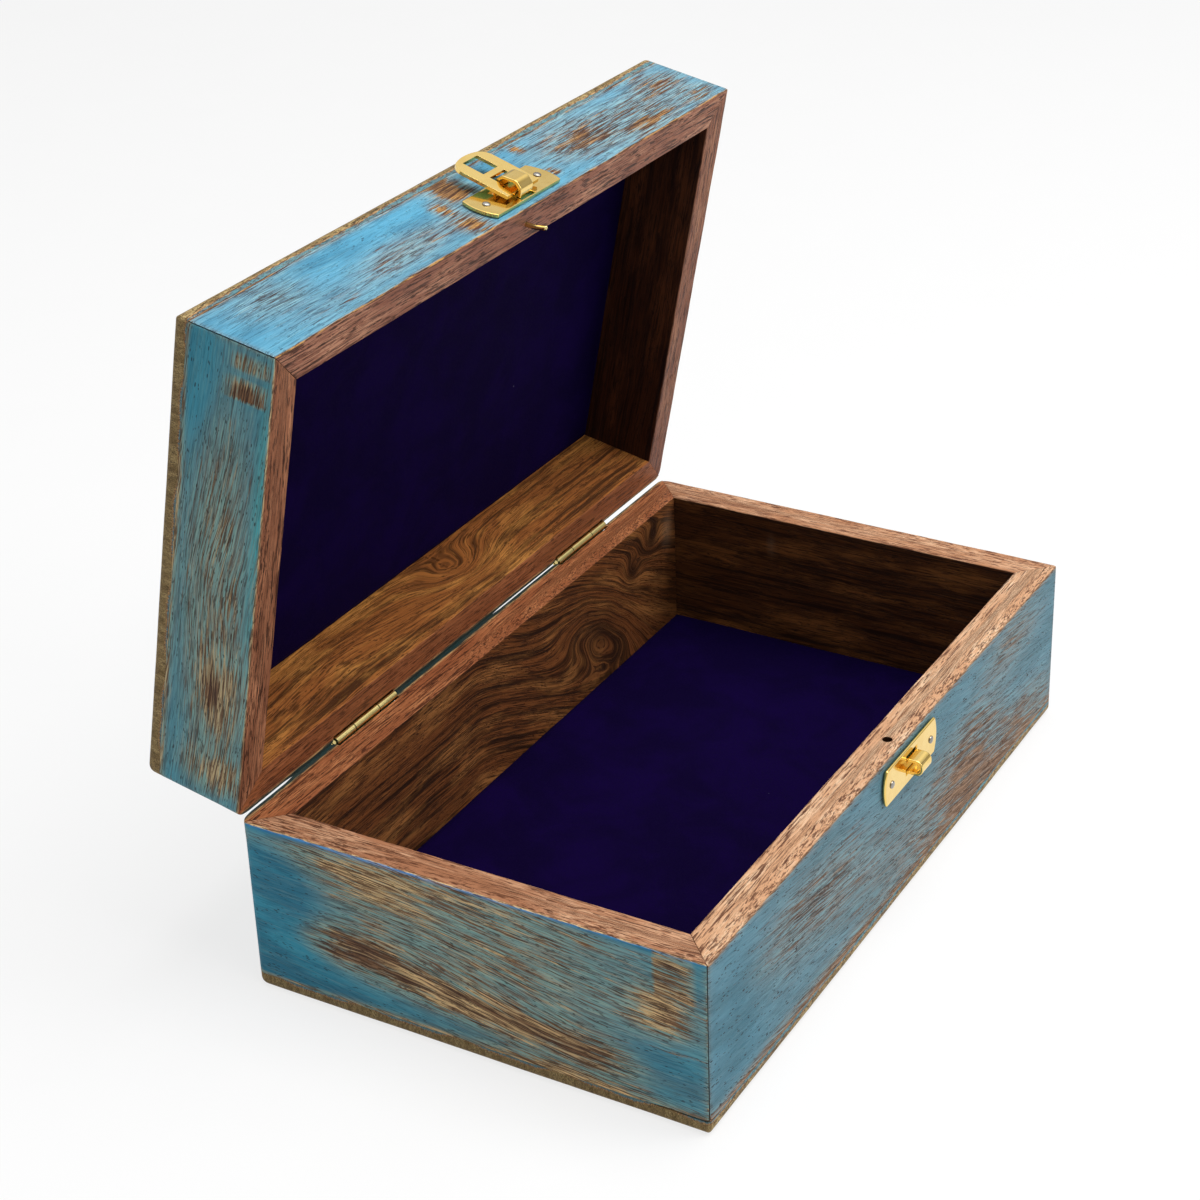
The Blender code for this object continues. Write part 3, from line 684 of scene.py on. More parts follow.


# Speckled end grain round the two boards, and painted shade on the back walls beside the crack between lid
# and base: their paint is darker, darkest in a band along the rim
endGrain = {"rim": ((0.6, 0.44, 0.2), (0.3, 0.2, 0.08), (0.06, 0.035, 0.016))}
crackShadePaint = {
    # a near-black band along the rim: painted shade in the crack
    "tintAndShade": [(100, 0, 400, 1.6, 1.0)],
    "paintTintAndShade": (0.015, 0.045, 0.045),
    "rimWear": 0.05,
    "paintDeep": (0.03, 0.11, 0.14),
    "paintMid": (0.05, 0.2, 0.24),
}
boards = {
    "base_front_wall": {
        "paintDeep": (0.062, 0.185, 0.25),
        "paintMid": (0.1, 0.268, 0.36),
        "paintPale": (0.31, 0.45, 0.46),
        "paintThin": (0.2, 0.33, 0.36),
        "bareLight": (0.42, 0.26, 0.16),
        "paintPores": 0.95,
        "paintScratches": 0.05,
        "paintFibres": 0.5,
        "softness": 0.1,
        "slope": -0.16,
        "worn": 0.16,
        "patches": [
            (52, 17, 26, 9, 0.32, 0.05), (100, 30, 40, 12, 0.12), (143, 27, 20, 10, 0.42, -0.05),
            (152, 38, 36, 7, 0.38), (172, 8, 18, 7, 0.2), (12, 25, 14, 20, -0.1),
            (120, 44.5, 110, 2.2, 0.5), (185, 36, 16, 9, 0.16), (60, 42, 30, 3, 0.3),
        ],
        "browns": [(52, 17, 32, 14, 0.6), (146, 31, 36, 18, 0.5), (100, 44, 100, 4, 0.4)],
        "rimWear": 0.4,
        "spill": -0.15,
        "rim": ((0.98, 0.69, 0.45), (0.75, 0.41, 0.225), (0.12, 0.04, 0.02)),
        "footWear": 0.6,
        "footReach": 1.2,
    },
    "base_left_wall": {
        "slope": -0.1,
        "softness": 0.1,
        "paintPale": (0.42, 0.52, 0.41),
        "paintThin": (0.14, 0.36, 0.36),
        "bareLight": (0.86, 0.61, 0.3),
        "rim": ((0.76, 0.44, 0.26), (0.46, 0.2, 0.1), (0.1, 0.032, 0.015)),
        "footWear": 0.45,
        "patches": [
            (66, 15, 52, 16, 0.31, 0.05), (34, 7.5, 17, 5, 0.3, 0.1), (45, 2.5, 50, 4, 0.3),
            (92, 34, 12, 5, 0.2, 0.08), (62, 31, 40, 5, 0.6, 0.08), (30, 25, 12, 5, 0.36),
            (110, 16, 6.5, 5.5, 0.52), (90, 41, 24, 2.5, 0.3), (8, 22, 13, 26, -0.2),
            (108, 33, 10, 9, -0.12),
        ],
        "bands": [(108.6, 0, 118.5, 12, 0.34)],
        "browns": [
            (62, 30.5, 46, 6, 0.5, 0.08), (30, 25, 14, 6, 0.5), (112, 6, 6, 6, 0.6),
            (110, 17, 6, 6, 0.34), (92, 34, 12, 5, 0.3, 0.08),
        ],
        "bends": [(40, 20, 30, 9, 3, 0), (90, 30, 25, 8, -3, 0)],
        "spill": 0.15,
        "spills": [(25, 0, 40, 9, 0.5)],
        "rimWear": -0.2,
        "tintAndShade": [(55, 0, 90, 0.5, 0.9)],
        "paintTintAndShade": (0.06, 0.26, 0.62),
    },
    "base_back_wall": crackShadePaint
    | {
        "innerBends": [(52, 23, 20, 12, 19, -0.5), (34, 12, 5, 4, -7, 0), (23, 7.5, 5, 4, -7, 0)],
        "innerSweep": (118, 0.5),
        "innerShades": [
            (50, 22, 16, 11, 0.4, -0.4), (52, 24, 6, 5, 0.3, -0.4), (34, 12, 3.5, 3.5, 0.8),
            (23, 7.5, 3.5, 3.5, 0.8), (12, 30, 12, 14, 0.5), (150, 34, 40, 4, 0.3),
        ],
        "paleSpots": [(13.5, 8.5, 2.8, 4.5, 0.4)],
        "patches": [(50, 20, 30, 8, 0.4), (150, 30, 30, 6, 0.5)],
        "rim": ((0.66, 0.27, 0.11), (0.4, 0.13, 0.05), (0.07, 0.02, 0.01)),
        "spill": 0.45,
    },
    "base_right_wall": {
        # painted shade: this inner face, which gets little light, has a darker copy of the inner stain
        "inner": ((0.34, 0.13, 0.035), (0.1, 0.034, 0.011), (0.022, 0.008, 0.004)),
        "slope": 0.1,
        "paleSpots": [(82, 8.5, 1.1, 2.6, 0.3)],
        "patches": [(40, 20, 26, 8, 0.45), (95, 33, 20, 6, 0.5)],
    },
    "lid_front_wall": {
        "paintDeep": (0.06, 0.3, 0.48),
        "paintMid": (0.1, 0.42, 0.64),
        "paintPale": (0.38, 0.6, 0.62),
        "paintThin": (0.22, 0.42, 0.5),
        "bareLight": (0.66, 0.35, 0.11),
        "bareDark": (0.1, 0.035, 0.02),
        "paintPores": 0.55,
        "paintScratches": 0.12,
        "softness": 0.07,
        "worn": 0.12,
        "patches": [
            (93.5, 18, 5.2, 6, 0.75), (84, 13.5, 2.4, 3, 0.6), (83, 4.5, 4, 4.4, 0.6),
            (125.7, 19, 1.8, 1.6, 0.6), (122, 6.4, 1.5, 1.4, 0.6), (20, 16, 12, 7, 0.24),
            (160, 11, 40, 11, 0.16), (143, 12, 14, 7, 0.36), (190, 15, 9, 5, 0.34),
            (172, 12, 10, 4, 0.2), (193, 5, 7, 3.4, 0.4), (167, 4.5, 14, 4, 0.34),
            (62, 8, 20, 5, 0.26), (30, 4, 24, 4, 0.1),
        ],
        "footWear": 0.35,
        "browns": [(93.5, 21, 6, 6, 0.6), (20, 16, 14, 8, 0.9), (155, 9, 50, 10, 0.55)],
        "rim": ((0.56, 0.28, 0.17), (0.3, 0.12, 0.075), (0.045, 0.018, 0.012)),
    },
    "lid_left_wall": {
        "slope": 0.07,
        "worn": 0.12,
        "softness": 0.1,
        "paintDeep": (0.03, 0.2, 0.3),
        "paintMid": (0.06, 0.32, 0.44),
        "paintPale": (0.35, 0.52, 0.43),
        "paintThin": (0.19, 0.38, 0.36),
        "bareLight": (0.64, 0.49, 0.27),
        "bareDark": (0.17, 0.1, 0.055),
        "footWear": 0.5,
        "patches": [
            (10, 7, 5, 8, 0.5), (31, 7, 13, 6, 0.42), (31, 10.5, 5, 1.6, 0.3),
            (62, 11, 44, 9, 0.32), (112, 20, 16, 5, -0.15),
        ],
        "bands": [(108.6, 1.5, 113.6, 11, 0.5), (115.4, 1, 119.6, 10, 0.32)],
        "browns": [(31, 10, 6, 2.5, 0.8), (110, 6, 3, 6, 0.9)],
        "tintAndShade": [(82, 0.9, 30, 1.5, 1.0)],
        "bends": [(60, 12, 22, 7, -3, 0)],
        "rim": ((0.6, 0.27, 0.14), (0.29, 0.11, 0.055), (0.03, 0.01, 0.007)),
    },
    "lid_back_wall": crackShadePaint
    | {
        "inner": ((0.84, 0.37, 0.085), (0.42, 0.14, 0.034), (0.08, 0.028, 0.008)),
        "innerShades": [(30, 14, 34, 12, 0.35)],
        "innerBends": [(92, 12, 14, 6, 9, 0), (150, 14, 30, 8, -4, 0)],
        "patches": [(60, 12, 30, 5, 0.4), (140, 9, 22, 5, 0.5)],
        "rim": ((0.52, 0.19, 0.075), (0.33, 0.11, 0.042), (0.09, 0.03, 0.014)),
        "spill": 0.4,
    },
    "lid_right_wall": {
        # painted shade: this inner face, which gets little light, has a darker copy of the inner stain
        "inner": ((0.14, 0.045, 0.016), (0.06, 0.018, 0.007), (0.016, 0.005, 0.003)),
        "patches": [(30, 12, 20, 6, 0.4), (90, 9, 22, 5, 0.5)],
        "rim": ((0.44, 0.21, 0.12), (0.28, 0.11, 0.065), (0.06, 0.022, 0.014)),
    },
    "base_bottom_board": endGrain
    | {
        "strip": 2.9,
        "leftStrip": 3.5,
    },
    "lid_top_board": endGrain
    | {
        "strip": 2.7,
        "leftStrip": 3.7,
        "faceBorder": 2.2,  # the bottom board's face is bare
    },
}

# The glue lines at the mitres: the one at the front left corner shows more
fineGap, openGap = 0.00005, 0.00014
mitreGaps = dict.fromkeys(sides, (fineGap, fineGap))
mitreGaps |= {"front": (openGap, fineGap), "left": (fineGap, openGap)}

# The hinges' notches in the back rims and the hole that takes the locating pin
hinges = {
    "left": -0.05,
    "right": 0.055,
    "length": 0.0254,
    "barrel": 0.00135,
    "recessPlay": 0.0003,
    "clearance": 0.00045,
}
pin = {
    "x": -0.0012,
    "y": -0.0565,
    "radius": 0.00065,
    "stand": 0.0057,
    "bend": 0.0009,
    "hole": 0.0012,
    "holeY": -0.05695,
    "holeDepth": 0.0072,
}


def blockCutter(low, high):
    corners = np.stack(np.meshgrid(*zip(low, high), indexing="ij"), -1)
    faces = [(0, 1, 3, 2), (4, 6, 7, 5), (0, 4, 5, 1), (2, 3, 7, 6), (0, 2, 6, 4), (1, 5, 7, 3)]
    return putMesh("cutter", corners, faces, 0)


# Rings of a solid of revolution: radius r at height h on the axis, count points round
def turnedRings(profile, count=24):
    height, radius = np.array(profile).T[:, :, None]
    flat = radius[..., None] * circle(np.arange(count) * 2 * math.pi / count)
    return np.dstack([flat, np.broadcast_to(height, flat.shape[:2])])


# Every wall and board takes the place of its CAD node; the hinges' recesses and the pin's hole are cut
def makeBoards():
    clear = hinges["barrel"] + hinges["clearance"]
    reach = np.array([hinges["length"] / 2 + hinges["recessPlay"], clear, clear])
    for number, (name, look) in enumerate(boards.items()):
        low, high = closedBox(name)
        isBase = bodyOf[name] == "base"
        if name.endswith("wall"):
            side = name.split("_")[1]
            seam, rim = (low[2], high[2]) if isBase else (high[2], low[2])
            seam += (-1 if isBase else 1) * (chest["cadSeam"] - chest["seam"])
            piece = wallPiece(name + "_wood", side, seam, rim, mitreGaps[side])
            if side == "back":
                for middle in (hinges["left"], hinges["right"]):
                    centre = np.array([middle, chest["axisY"], chest["axisZ"]])
                    cut(piece, blockCutter(centre - reach, centre + reach))
            if name == "base_front_wall":
                hole, lip = pin["hole"], pin["hole"] * 1.3
                rings = turnedRings([(-pin["holeDepth"], hole), (-0.0003, hole), (0.001, lip)])
                cut(piece, tubePiece("cutter", rings + (pin["x"], pin["holeY"], rim), 0))
            dressWall(piece, side, seam, rim, look, number)
        else:
            seam, face = (high[2], low[2]) if isBase else (low[2], high[2])
            piece = boardPiece(name + "_wood", seam, face)
            dressBoard(piece, face, look, number)
        if not isBase:
            openLid(piece)
        shade(piece.data, 40)
        settled(piece, name, woodMaterial(name + "_finish", look))


makeBoards()
print("stage: boards made")


# Velvet: dark pile with a faint sheen, darker and lighter where it is brushed, and a few specks of lint
velvetLook = {
    "pile": (0.0035, 0.0005, 0.024),
    "brushed": (0.006, 0.0008, 0.042),
    "lint": (0.16, 0.15, 0.24),
    "gloss": 0.04,
    "sheen": 0.03,
    "sheenTint": (0.12, 0.06, 0.75, 1),
}


def velvetMaterial():
    look = velvetLook
    material, tree, shader = newMaterial("navy_velvet")
    place = objectPlace(tree)
    nap = noise(place, (55, 55, 55), 5, 0.6, 0.4)
    pile = noise(place, (2600, 2600, 2600), 3, 0.7)
    colour = mixed(smoothed(nap, 0.36, 0.68), look["pile"], look["brushed"])
    colour = mixed(smoothed(pile, 0.62, 0.38, 0.0, 0.5), colour, look["pile"])
    specks = joined("TexVoronoi", {"Vector": place, "Scale": 110.0})
    few = noise(place, (37, 37, 37), 1)
    lint = smoothed(specks["Distance"], 0.035, 0.015)
    lint = times(lint, smoothed(few, 0.6, 0.64))
    colour = mixed(times(lint, 0.7), colour, look["lint"])
    height = scaled(nap, 1.5, times(pile, 0.5))
    finish(shader, colour, smoothed(pile, 0.3, 0.7, 0.75, 0.95), height, 0.6, 0.0003)
    sheen = {"Sheen Weight": look["sheen"], "Sheen Roughness": 0.35, "Sheen Tint": look["sheenTint"]}
    setInputs(shader, sheen | {"Specular IOR Level": look["gloss"]})
    return material


# A glued lining: a flat grid with slow ripples and one long crease, its border rolled down to the card
velvetBorder = {"roll": 0.0011, "rolled": 0.0003, "creaseWidth": 0.0022, "sunk": 0.00003}
velvets = {
    "base_velvet": {
        "under": "base_lining_card",
        "thick": 0.0007,
        "ripple": 0.00012,
        "crease": (0.3, 0.92, -0.02),
    },
    "lid_velvet": {
        "under": "lid_lining_card",
        "thick": 0.0004,
        "ripple": 0.00005,
        "crease": (0.1, 1.0, 0.03),
    },
}


def makeVelvet(name, material):
    look = velvetBorder | velvets[name]
    low, high = closedBox(name)
    isBase = bodyOf[name] == "base"
    rows, columns = 120, 70
    xs, ys = np.linspace(low[0], high[0], rows), np.linspace(low[1], high[1], columns)
    x, y = np.meshgrid(xs, ys, indexing="ij")
    border = np.minimum(np.minimum(x - low[0], high[0] - x), np.minimum(y - low[1], high[1] - y))
    ripple = np.sin(60 * x + 2 * np.sin(45 * y)) + np.sin(95 * y + 30 * x + 1)
    ripple += 0.5 * np.sin(210 * x - 160 * y)
    a, b, c = look["crease"]
    line = a * x + b * y - c
    ridge = np.exp(-((line / look["creaseWidth"]) ** 2))
    lift = look["ripple"] * (ripple - 2.4) / 2 + 1.2 * look["ripple"] * ridge
    lift = np.minimum(lift, 0) - look["rolled"] * (1 - ease(border, 0, look["roll"]))
    face, away = (high[2], 1) if isBase else (low[2], -1)
    z = face + away * (lift - look["sunk"])
    points = np.stack([x, y, z], -1)
    faces = gridFaces(rows, columns)[:, :: (-1 if isBase else 1)]
    piece = putMesh(name + "_cloth", points, faces.tolist(), 0)
    if not isBase:
        openLid(piece)
    thicken(piece, look["thick"])
    settled(piece, name, material)


velvet = velvetMaterial()
for name in velvets:
    makeVelvet(name, velvet)


# Metals: brass with fine rubbing marks and slight tarnish, and plain steel nail heads
metalLooks = {
    "polished_brass": {"light": (0.92, 0.66, 0.22), "dark": (0.84, 0.55, 0.13), "rough": (0.09, 0.15)},
    "hinge_brass": {"light": (0.72, 0.58, 0.24), "dark": (0.55, 0.42, 0.14), "rough": (0.13, 0.2)},
    "nail_steel": {"light": (0.38, 0.36, 0.32), "dark": (0.14, 0.13, 0.12), "rough": (0.14, 0.22)},
}


def metalMaterial(name):
    look = metalLooks[name]
    material, tree, shader = newMaterial(name)
    place = objectPlace(tree)
    stain = noise(place, (190, 190, 190), 5, 0.6, 0.3)
    rubbed = noise(place, (350, 5200, 5200), 3, 0.6)
    colour = mixed(smoothed(stain, 0.62, 0.34, 0.0, 0.5), look["light"], look["dark"])
    marks = scaled(rubbed, 0.4, times(stain, 0.6))
    rough = smoothed(marks, 0.35, 0.65, *look["rough"])
    finish(shader, colour, rough, rubbed, 0.04, 0.00002)
    setInputs(shader, {"Metallic": 1.0})
    return material


metals = {name: metalMaterial(name) for name in metalLooks}

latch = {
    "x": 0.002,
    "face": -0.061,
    "seat": 0.0002,
    "plateLength": 0.0306,
    "plateHeight": 0.01,
    "plateThick": 0.0009,
    "endBulge": 0.0012,
    "fromRim": 0.0017,
    "nailFromMiddle": 0.0115,
    "stripWidth": 0.0054,
    "stripThick": 0.0008,
    "stripRoot": 0.002,
    "slotSlack": 0.0007,
    "clearance": 0.0003,
    "bevel": 0.00042,
    "stripEdge": 0.00018,
    "nailHead": 0.001,
    "nailDome": 0.0005,
    "nailShank": 0.00045,
    "nailDeep": 0.0055,
    "stepAcross": 0.0011,
    "stepUp": 0.0007,
}
plateFront = latch["face"] - latch["seat"] - latch["plateThick"]
loops = {
    "lid_latch": {
        "away": 1,
        "fromRim": 0.0027,
        "span": 0.0075,
        "stand": 0.0039,
        "chamfer": 0.0017,
        "bend": 0.0005,
    },
    "catch": {
        "away": -1,
        "fromRim": 0.0044,
        "span": 0.0042,
        "stand": 0.0041,
        "chamfer": 0.0011,
        "bend": 0.0009,
    },
}
hasp = {
    "width": 0.014,
    "thick": 0.0009,
    "bar": 0.0018,
    "lidSlot": 0.0058,
    "catchSlot": 0.006,
    "slotWidth": 0.0064,
    "endBulge": 0.0016,
    "corner": 0.0025,
    "axisFromRim": 0.0047,
    "axisFromPlate": 0.00125,
    "lift": 7.0,
    "bevel": 0.0003,
    "stepAcross": 0.0008,
    "stepUp": 0.0006,
}


# Grid lines through the given stops, with steps no longer than the pitch between them
def gridLines(stops, pitch):
    lines = [stops[0]]
    for start, end in zip(stops, stops[1:]):
        count = max(1, math.ceil((end - start) / pitch))
        lines += [start + (end - start) * (k + 1) / count for k in range(count)]
    return np.array(lines)


# Sheet metal seen from the front: a grid whose cells inside the slots are left out, its outline bent
# by shape(x, y), then thickened away from the front, which stands at that Y, and bevelled
def sheetMetal(name, xs, ys, slots, shape, front, thick, bevel):
    gx, gy = np.meshgrid(xs, ys, indexing="ij")
    cx, cy = (gx[:-1, :-1] + gx[1:, 1:]) / 2, (gy[:-1, :-1] + gy[1:, 1:]) / 2
    keep = np.ones(cx.shape, bool)
    for x0, x1, y0, y1 in slots:
        keep &= ~((cx > x0) & (cx < x1) & (cy > y0) & (cy < y1))
    faces = gridFaces(len(xs), len(ys))[keep.ravel()]
    bentX, bentY = shape(gx, gy)
    points = np.stack([bentX, np.full(gx.shape, front), bentY], -1).reshape(-1, 3)
    used = np.unique(faces)
    index = np.full(len(points), -1)
    index[used] = np.arange(len(used))
    piece = putMesh(name, points[used], index[faces].tolist(), 0)
    thicken(piece, thick)
    soften = piece.modifiers.new("edges", "BEVEL")
    soften.width, soften.segments, soften.limit_method = bevel, 4, "ANGLE"
    soften.angle_limit = math.radians(50)
    soften.harden_normals = True
    return piece


# A plate's ends bulge: x moves out by bulge (1 - v^2) (x/half)^3, v from -1 to 1 up the end
def makePlate(name, rim, loop):
    away, half = loop["away"], latch["plateLength"] / 2 - latch["endBulge"]
    clear, thick, low = latch["clearance"], latch["stripThick"], loop["fromRim"]
    side, top = latch["stripWidth"] / 2 + clear, low + loop["span"]
    near, far = latch["fromRim"], latch["fromRim"] + latch["plateHeight"]
    legs = [low - latch["slotSlack"], low + thick + clear, top - thick - clear, top + clear]
    ys = gridLines(sorted({near, far, *legs}), latch["stepUp"])
    xs = gridLines([-half, -side, side, half], latch["stepAcross"])
    slots = [(-side, side, *legs[:2]), (-side, side, *legs[2:])]

    def shape(x, y):
        v = 2 * (y - near) / (far - near) - 1
        bulged = x + latch["endBulge"] * (1 - v * v) * (x / half) ** 3
        return latch["x"] + bulged, rim + away * y

    piece = sheetMetal(name + "_sheet", xs, ys, slots, shape, plateFront, latch["plateThick"], latch["bevel"])
    if away > 0:
        piece.data.flip_normals()
    return piece


# Corners of a path replaced by arcs that start the given length before each: (1 - t)^2 start + 2 t (1 - t)
# corner + t^2 end, with a point just outside each end that keeps the straights straight
def rounded(path, length, steps=5, keep=0.00005):
    path = [np.array(p, float) for p in path]
    out = [path[0]]
    for before, corner, after in zip(path, path[1:], path[2:]):
        ways = np.array([before - corner, after - corner])
        sizes = np.linalg.norm(ways, axis=1)[:, None]
        ways /= sizes
        start, end = corner + ways * min(length, 0.48 * sizes.min())
        t = np.linspace(0, 1, steps)[:, None]
        arc = (1 - t) ** 2 * start + 2 * t * (1 - t) * corner + t * t * end
        out += [start + ways[0] * keep, *arc, end + ways[1] * keep]
    out.append(path[-1])
    return np.array(out)


# A strip bent into a loop: a rectangle with rounded corners carried along the path, square to it
def makeLoop(name, rim, loop):
    thick, stand, span, chamfer = latch["stripThick"], loop["stand"], loop["span"], loop["chamfer"]
    root = plateFront - latch["face"] - latch["stripRoot"]
    inset = thick / 2 * math.tan(math.pi / 8)
    path = [(root, thick / 2), (stand - chamfer - inset, thick / 2), (stand - thick / 2, chamfer + inset)]
    path += [(stand - thick / 2, span - chamfer - inset), (stand - chamfer - inset, span - thick / 2)]
    path = rounded(path + [(root, span - thick / 2)], loop["bend"])
    step = np.gradient(path, axis=0)
    step /= np.linalg.norm(step, axis=1)[:, None]
    normal = np.stack([-step[:, 1], step[:, 0]], -1)
    r, ring = latch["stripEdge"], []
    half = np.array([latch["stripWidth"] / 2 - r, thick / 2 - r])
    keep = 0.00008  # a point each side of every corner keeps the flats flat
    for quarter, sign in enumerate(((1, 1), (-1, 1), (-1, -1), (1, -1))):
        angle = (quarter + np.linspace(0, 1, 4)) * math.pi / 2
        arc = half * sign + r * circle(angle)
        tangent = keep * circle(angle + math.pi / 2)
        ring += [arc[:1] - tangent[:1], arc, arc[-1:] + tangent[-1:]]
    ring = np.concatenate(ring)
    flat = path[:, None] + normal[:, None] * ring[None, :, 1:]
    x = np.broadcast_to(latch["x"] + ring[None, :, 0], flat.shape[:2])
    z = rim + loop["away"] * (loop["fromRim"] + flat[..., 1])
    return tubePiece(name + "_strip", np.stack([x, plateFront - flat[..., 0], z], -1), 50)


# A domed head on a plain shank, turned about its axis; height 0 is the seat
def headProfile():
    radius, dome, shank = latch["nailHead"], latch["nailDome"], latch["nailShank"]
    rise = 0.00012  # the head's straight edge
    angle = np.linspace(0, math.pi / 2, 8)[:-1]
    head = [(rise + (dome - rise) * math.sin(a), radius * math.cos(a)) for a in angle]
    foot = [(-latch["nailDeep"], shank), (0.0, shank), (0.0, radius * 0.93), (0.00005, radius)]
    return foot + head + [(dome, radius * 0.05)]


def makeHasp():
    half, slot, bar = hasp["width"] / 2, hasp["slotWidth"] / 2, hasp["bar"]
    lidSlot = (bar / 2, bar / 2 + hasp["lidSlot"])
    catchSlot = (lidSlot[1] + bar, lidSlot[1] + bar + hasp["catchSlot"])
    top = catchSlot[1] + bar
    ys = gridLines([-bar / 2, *lidSlot, *catchSlot, top], hasp["stepUp"])
    edge, corner = 0.0006, 0.0026  # finer lines where the outline rounds off
    right = [slot, half - corner, half - edge, half]
    xs = gridLines([-x for x in right[::-1]] + right, hasp["stepAcross"])
    finer = np.arange(7) * 0.0001
    xs = np.unique(np.concatenate([xs, half - edge + finer, -half + finer]).round(7))

    # rows near the end are squeezed under its outline: top - bulge u^2 - the inset of the rounded corners
    def shape(x, y):
        end = top - hasp["endBulge"] * (x / half) ** 2 - cornerInset(half - np.abs(x), hasp["corner"])
        start = np.where(np.abs(x) < slot + 1e-6, catchSlot[1], catchSlot[0])
        return x, np.where(y > start, start + (end - start) * (y - start) / (top - start), y)

    slots, thick = [(-slot, slot, *lidSlot), (-slot, slot, *catchSlot)], hasp["thick"]
    piece = sheetMetal("latch_hasp_sheet", xs, ys, slots, shape, -thick / 2, thick, hasp["bevel"])
    piece.data.flip_normals()
    place = (latch["x"], plateFront - hasp["axisFromPlate"], rimOf["lid"] + hasp["axisFromRim"])
    lift = Matrix.Translation(place) @ Matrix.Rotation(math.radians(hasp["lift"]), 4, "X")
    setPoints(piece, turned(turned(meshPoints(piece), lift), openTurn))
    return piece


rimOf = {"base": float(closedBox("base_front_wall")[1][2]), "lid": float(closedBox("lid_front_wall")[0][2])}


def makeLatch():
    for name, loop in loops.items():
        body = "lid" if loop["away"] > 0 else "base"
        rim = rimOf[body]
        pieces = {"plate": makePlate(name, rim, loop), "loop": makeLoop(name, rim, loop)}
        height = rim + loop["away"] * (latch["fromRim"] + latch["plateHeight"] / 2)
        for end, sign in (("left", -1), ("right", 1)):
            place = (latch["x"] + sign * latch["nailFromMiddle"], plateFront, height)
            turn = Matrix.Translation(place) @ Matrix.Rotation(math.pi / 2, 4, "X")
            rings = turned(turnedRings(headProfile()), turn)
            pieces["nail_" + end] = tubePiece(f"{name}_nail_{end}_head", rings)
        for part, piece in pieces.items():
            if body == "lid":
                openLid(piece)
            slot, metal = ("steel", "nail_steel") if "nail" in part else ("brass", "polished_brass")
            settled(piece, f"{name}_{part}", metals[metal])
    settled(makeHasp(), "latch_hasp", metals["polished_brass"])


makeLatch()
print("stage: latch made")


# The locating pin follows (0, -bend t^2, -stand t) below the rim, with a rounded tip
def makePin():
    t = np.concatenate([[-0.6, -0.2], np.linspace(0, 1, 16)])
    stand = pin["stand"] - 0.6 * pin["radius"]
    path = np.stack([np.zeros(18), np.where(t > 0, -pin["bend"] * t * t, 0), -stand * t], -1)
    angle = np.linspace(0, math.pi / 2, 6)[1:]
    way = path[-1] - path[-2]
    way /= np.linalg.norm(way)
    path = np.concatenate([path, path[-1] + np.outer(np.sin(angle) * 0.6 * pin["radius"], way)])
    radius = pin["radius"] * np.concatenate([np.ones(18), np.maximum(np.cos(angle), 0.08)])
    flat = radius[:, None, None] * circle(np.arange(20) * 2 * math.pi / 20)
    rings = path[:, None] + np.dstack([flat, 0 * flat[..., 0]]) + (pin["x"], pin["y"], rimOf["lid"])
    piece = tubePiece("locating_pin_wire", turned(rings, openTurn))
    settled(piece, "locating_pin", metals["hinge_brass"])


makePin()

for name, node in frame["nodes"].items():
    if name.startswith(("left_hinge", "right_hinge")):
        dress(node, metals["hinge_brass"])


# Plain backing card under the velvets, faint fibres in a dull colour
cardLook = {"dark": (0.12, 0.1, 0.07), "light": (0.2, 0.17, 0.12)}


def cardMaterial():
    material, tree, shader = newMaterial("backing_card")
    place = objectPlace(tree)
    fibres = noise(place, (900, 900, 2600), 5, 0.7)
    colour = mixed(smoothed(fibres, 0.35, 0.65), cardLook["dark"], cardLook["light"])
    finish(shader, colour, smoothed(fibres, 0.3, 0.7, 0.8, 0.95))
    return material


card = cardMaterial()
for name in ("base_lining_card", "lid_lining_card"):
    dress(frame["nodes"][name], card)
print("stage: metal and linings made")


# The studio: a white floor that keeps a soft shadow, a white world for the camera, and large soft lamps
studio = {
    "floorSize": 6.0,
    "floorDark": (0.82, 0.82, 0.82),
    "floorLight": (0.86, 0.86, 0.86),
    "whiteness": 1.08,
    "worldLight": 0.35,
    "shadowKept": 0.3,
    "horizon": 0.42,
    "zenith": 1.4,
    "lampsAim": (0, 0, 0.06),
    "lamps": {
        "overhead": {"place": (0.1, -0.25, 1.1), "size": 0.9, "power": 8.5},
        "front": {"place": (0.55, -1.1, 0.75), "size": 0.8, "power": 5.0},
    },
}


# 1 for camera, glossy and transmission rays, 0 for the rest
def seenRays(tree):
    path = addNode(tree, "LightPath")
    seen = maths("MAXIMUM", path.outputs["Is Camera Ray"], path.outputs["Is Glossy Ray"])
    return maths("MAXIMUM", seen, path.outputs["Is Transmission Ray"])


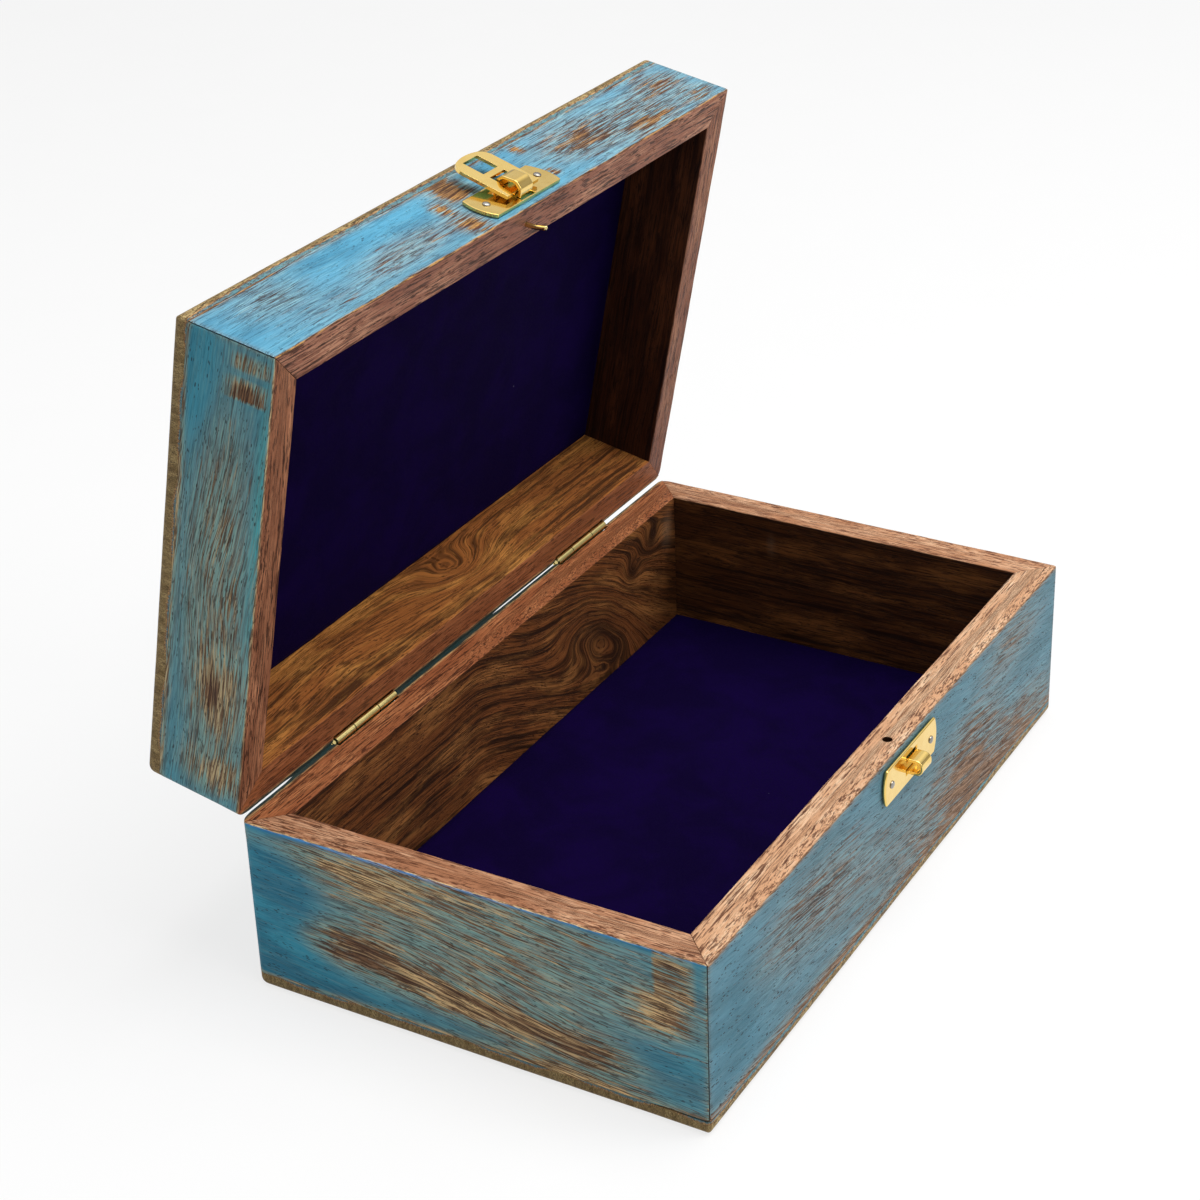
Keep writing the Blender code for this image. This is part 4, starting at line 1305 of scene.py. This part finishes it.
def makeStudio():
    half = studio["floorSize"] / 2
    corners = np.array([[-half, -half, 0], [half, -half, 0], [half, half, 0], [-half, half, 0]])
    floor = putMesh("floor", corners, [(0, 1, 2, 3)], 0)
    material, tree, shader = newMaterial("pale_floor")
    place = objectPlace(tree)
    grain = noise(place, (40, 40, 40), 3)
    finish(shader, mixed(grain, studio["floorDark"], studio["floorLight"]), 0.9)
    setInputs(shader, {"Specular IOR Level": 0.0})
    white = addNode(tree, "Emission", {"Color": (1, 1, 1, 1), "Strength": studio["whiteness"]})
    share = times(seenRays(tree), 1 - studio["shadowKept"])
    blend = joined("MixShader", {0: share, 1: shader.outputs[0], 2: white.outputs[0]})
    setInputs(tree.nodes["Material Output"], {"Surface": blend[0]})
    dress(floor, material)
    world = bpy.data.worlds.new("studio")
    world.use_nodes = True
    bpy.context.scene.world = world
    tree = world.node_tree
    level = scaled(seenRays(tree), 1 - studio["worldLight"], studio["worldLight"])
    # metal sees a studio that is darker towards the horizon
    way = joined("SeparateXYZ", {0: addNode(tree, "TexCoord").outputs["Generated"]})["Z"]
    dim = smoothed(way, 0.3, 0.85, studio["horizon"], studio["zenith"])
    glossy = addNode(tree, "LightPath").outputs["Is Glossy Ray"]
    dim = scaled(glossy, maths("SUBTRACT", dim, 1.0), 1.0)
    setInputs(tree.nodes["Background"], {"Color": (1, 1, 1, 1), "Strength": times(level, dim)})
    for name, lamp in studio["lamps"].items():
        light = bpy.data.lights.new(name, "AREA")
        light.shape, light.size, light.energy = "DISK", lamp["size"], lamp["power"]
        aim = Vector(studio["lampsAim"]) - Vector(lamp["place"])
        turn = aim.to_track_quat("-Z", "Y").to_matrix().to_4x4()
        newObject(name, light).matrix_world = Matrix.Translation(lamp["place"]) @ turn


makeStudio()

# The camera stands where the photograph was taken from; its shift is the photograph's framing
view = {
    "place": (-0.4949, -0.2728, 0.3744),
    "turn": (62.9614, 1.2293, -61.3167),
    "lens": 78.23,
    "sensor": 36.0,
    "shift": (-0.05, -0.05),
}


def makeCamera():
    data = bpy.data.cameras.new("camera")
    data.lens, data.sensor_width = view["lens"], view["sensor"]
    data.shift_x, data.shift_y = view["shift"]
    data.clip_start, data.clip_end = 0.01, 50
    camera = newObject("camera", data)
    camera.location = view["place"]
    camera.rotation_euler = [math.radians(angle) for angle in view["turn"]]
    bpy.context.scene.camera = camera


makeCamera()
bpy.context.scene.view_settings.view_transform = "Standard"
print("stage: studio ready")
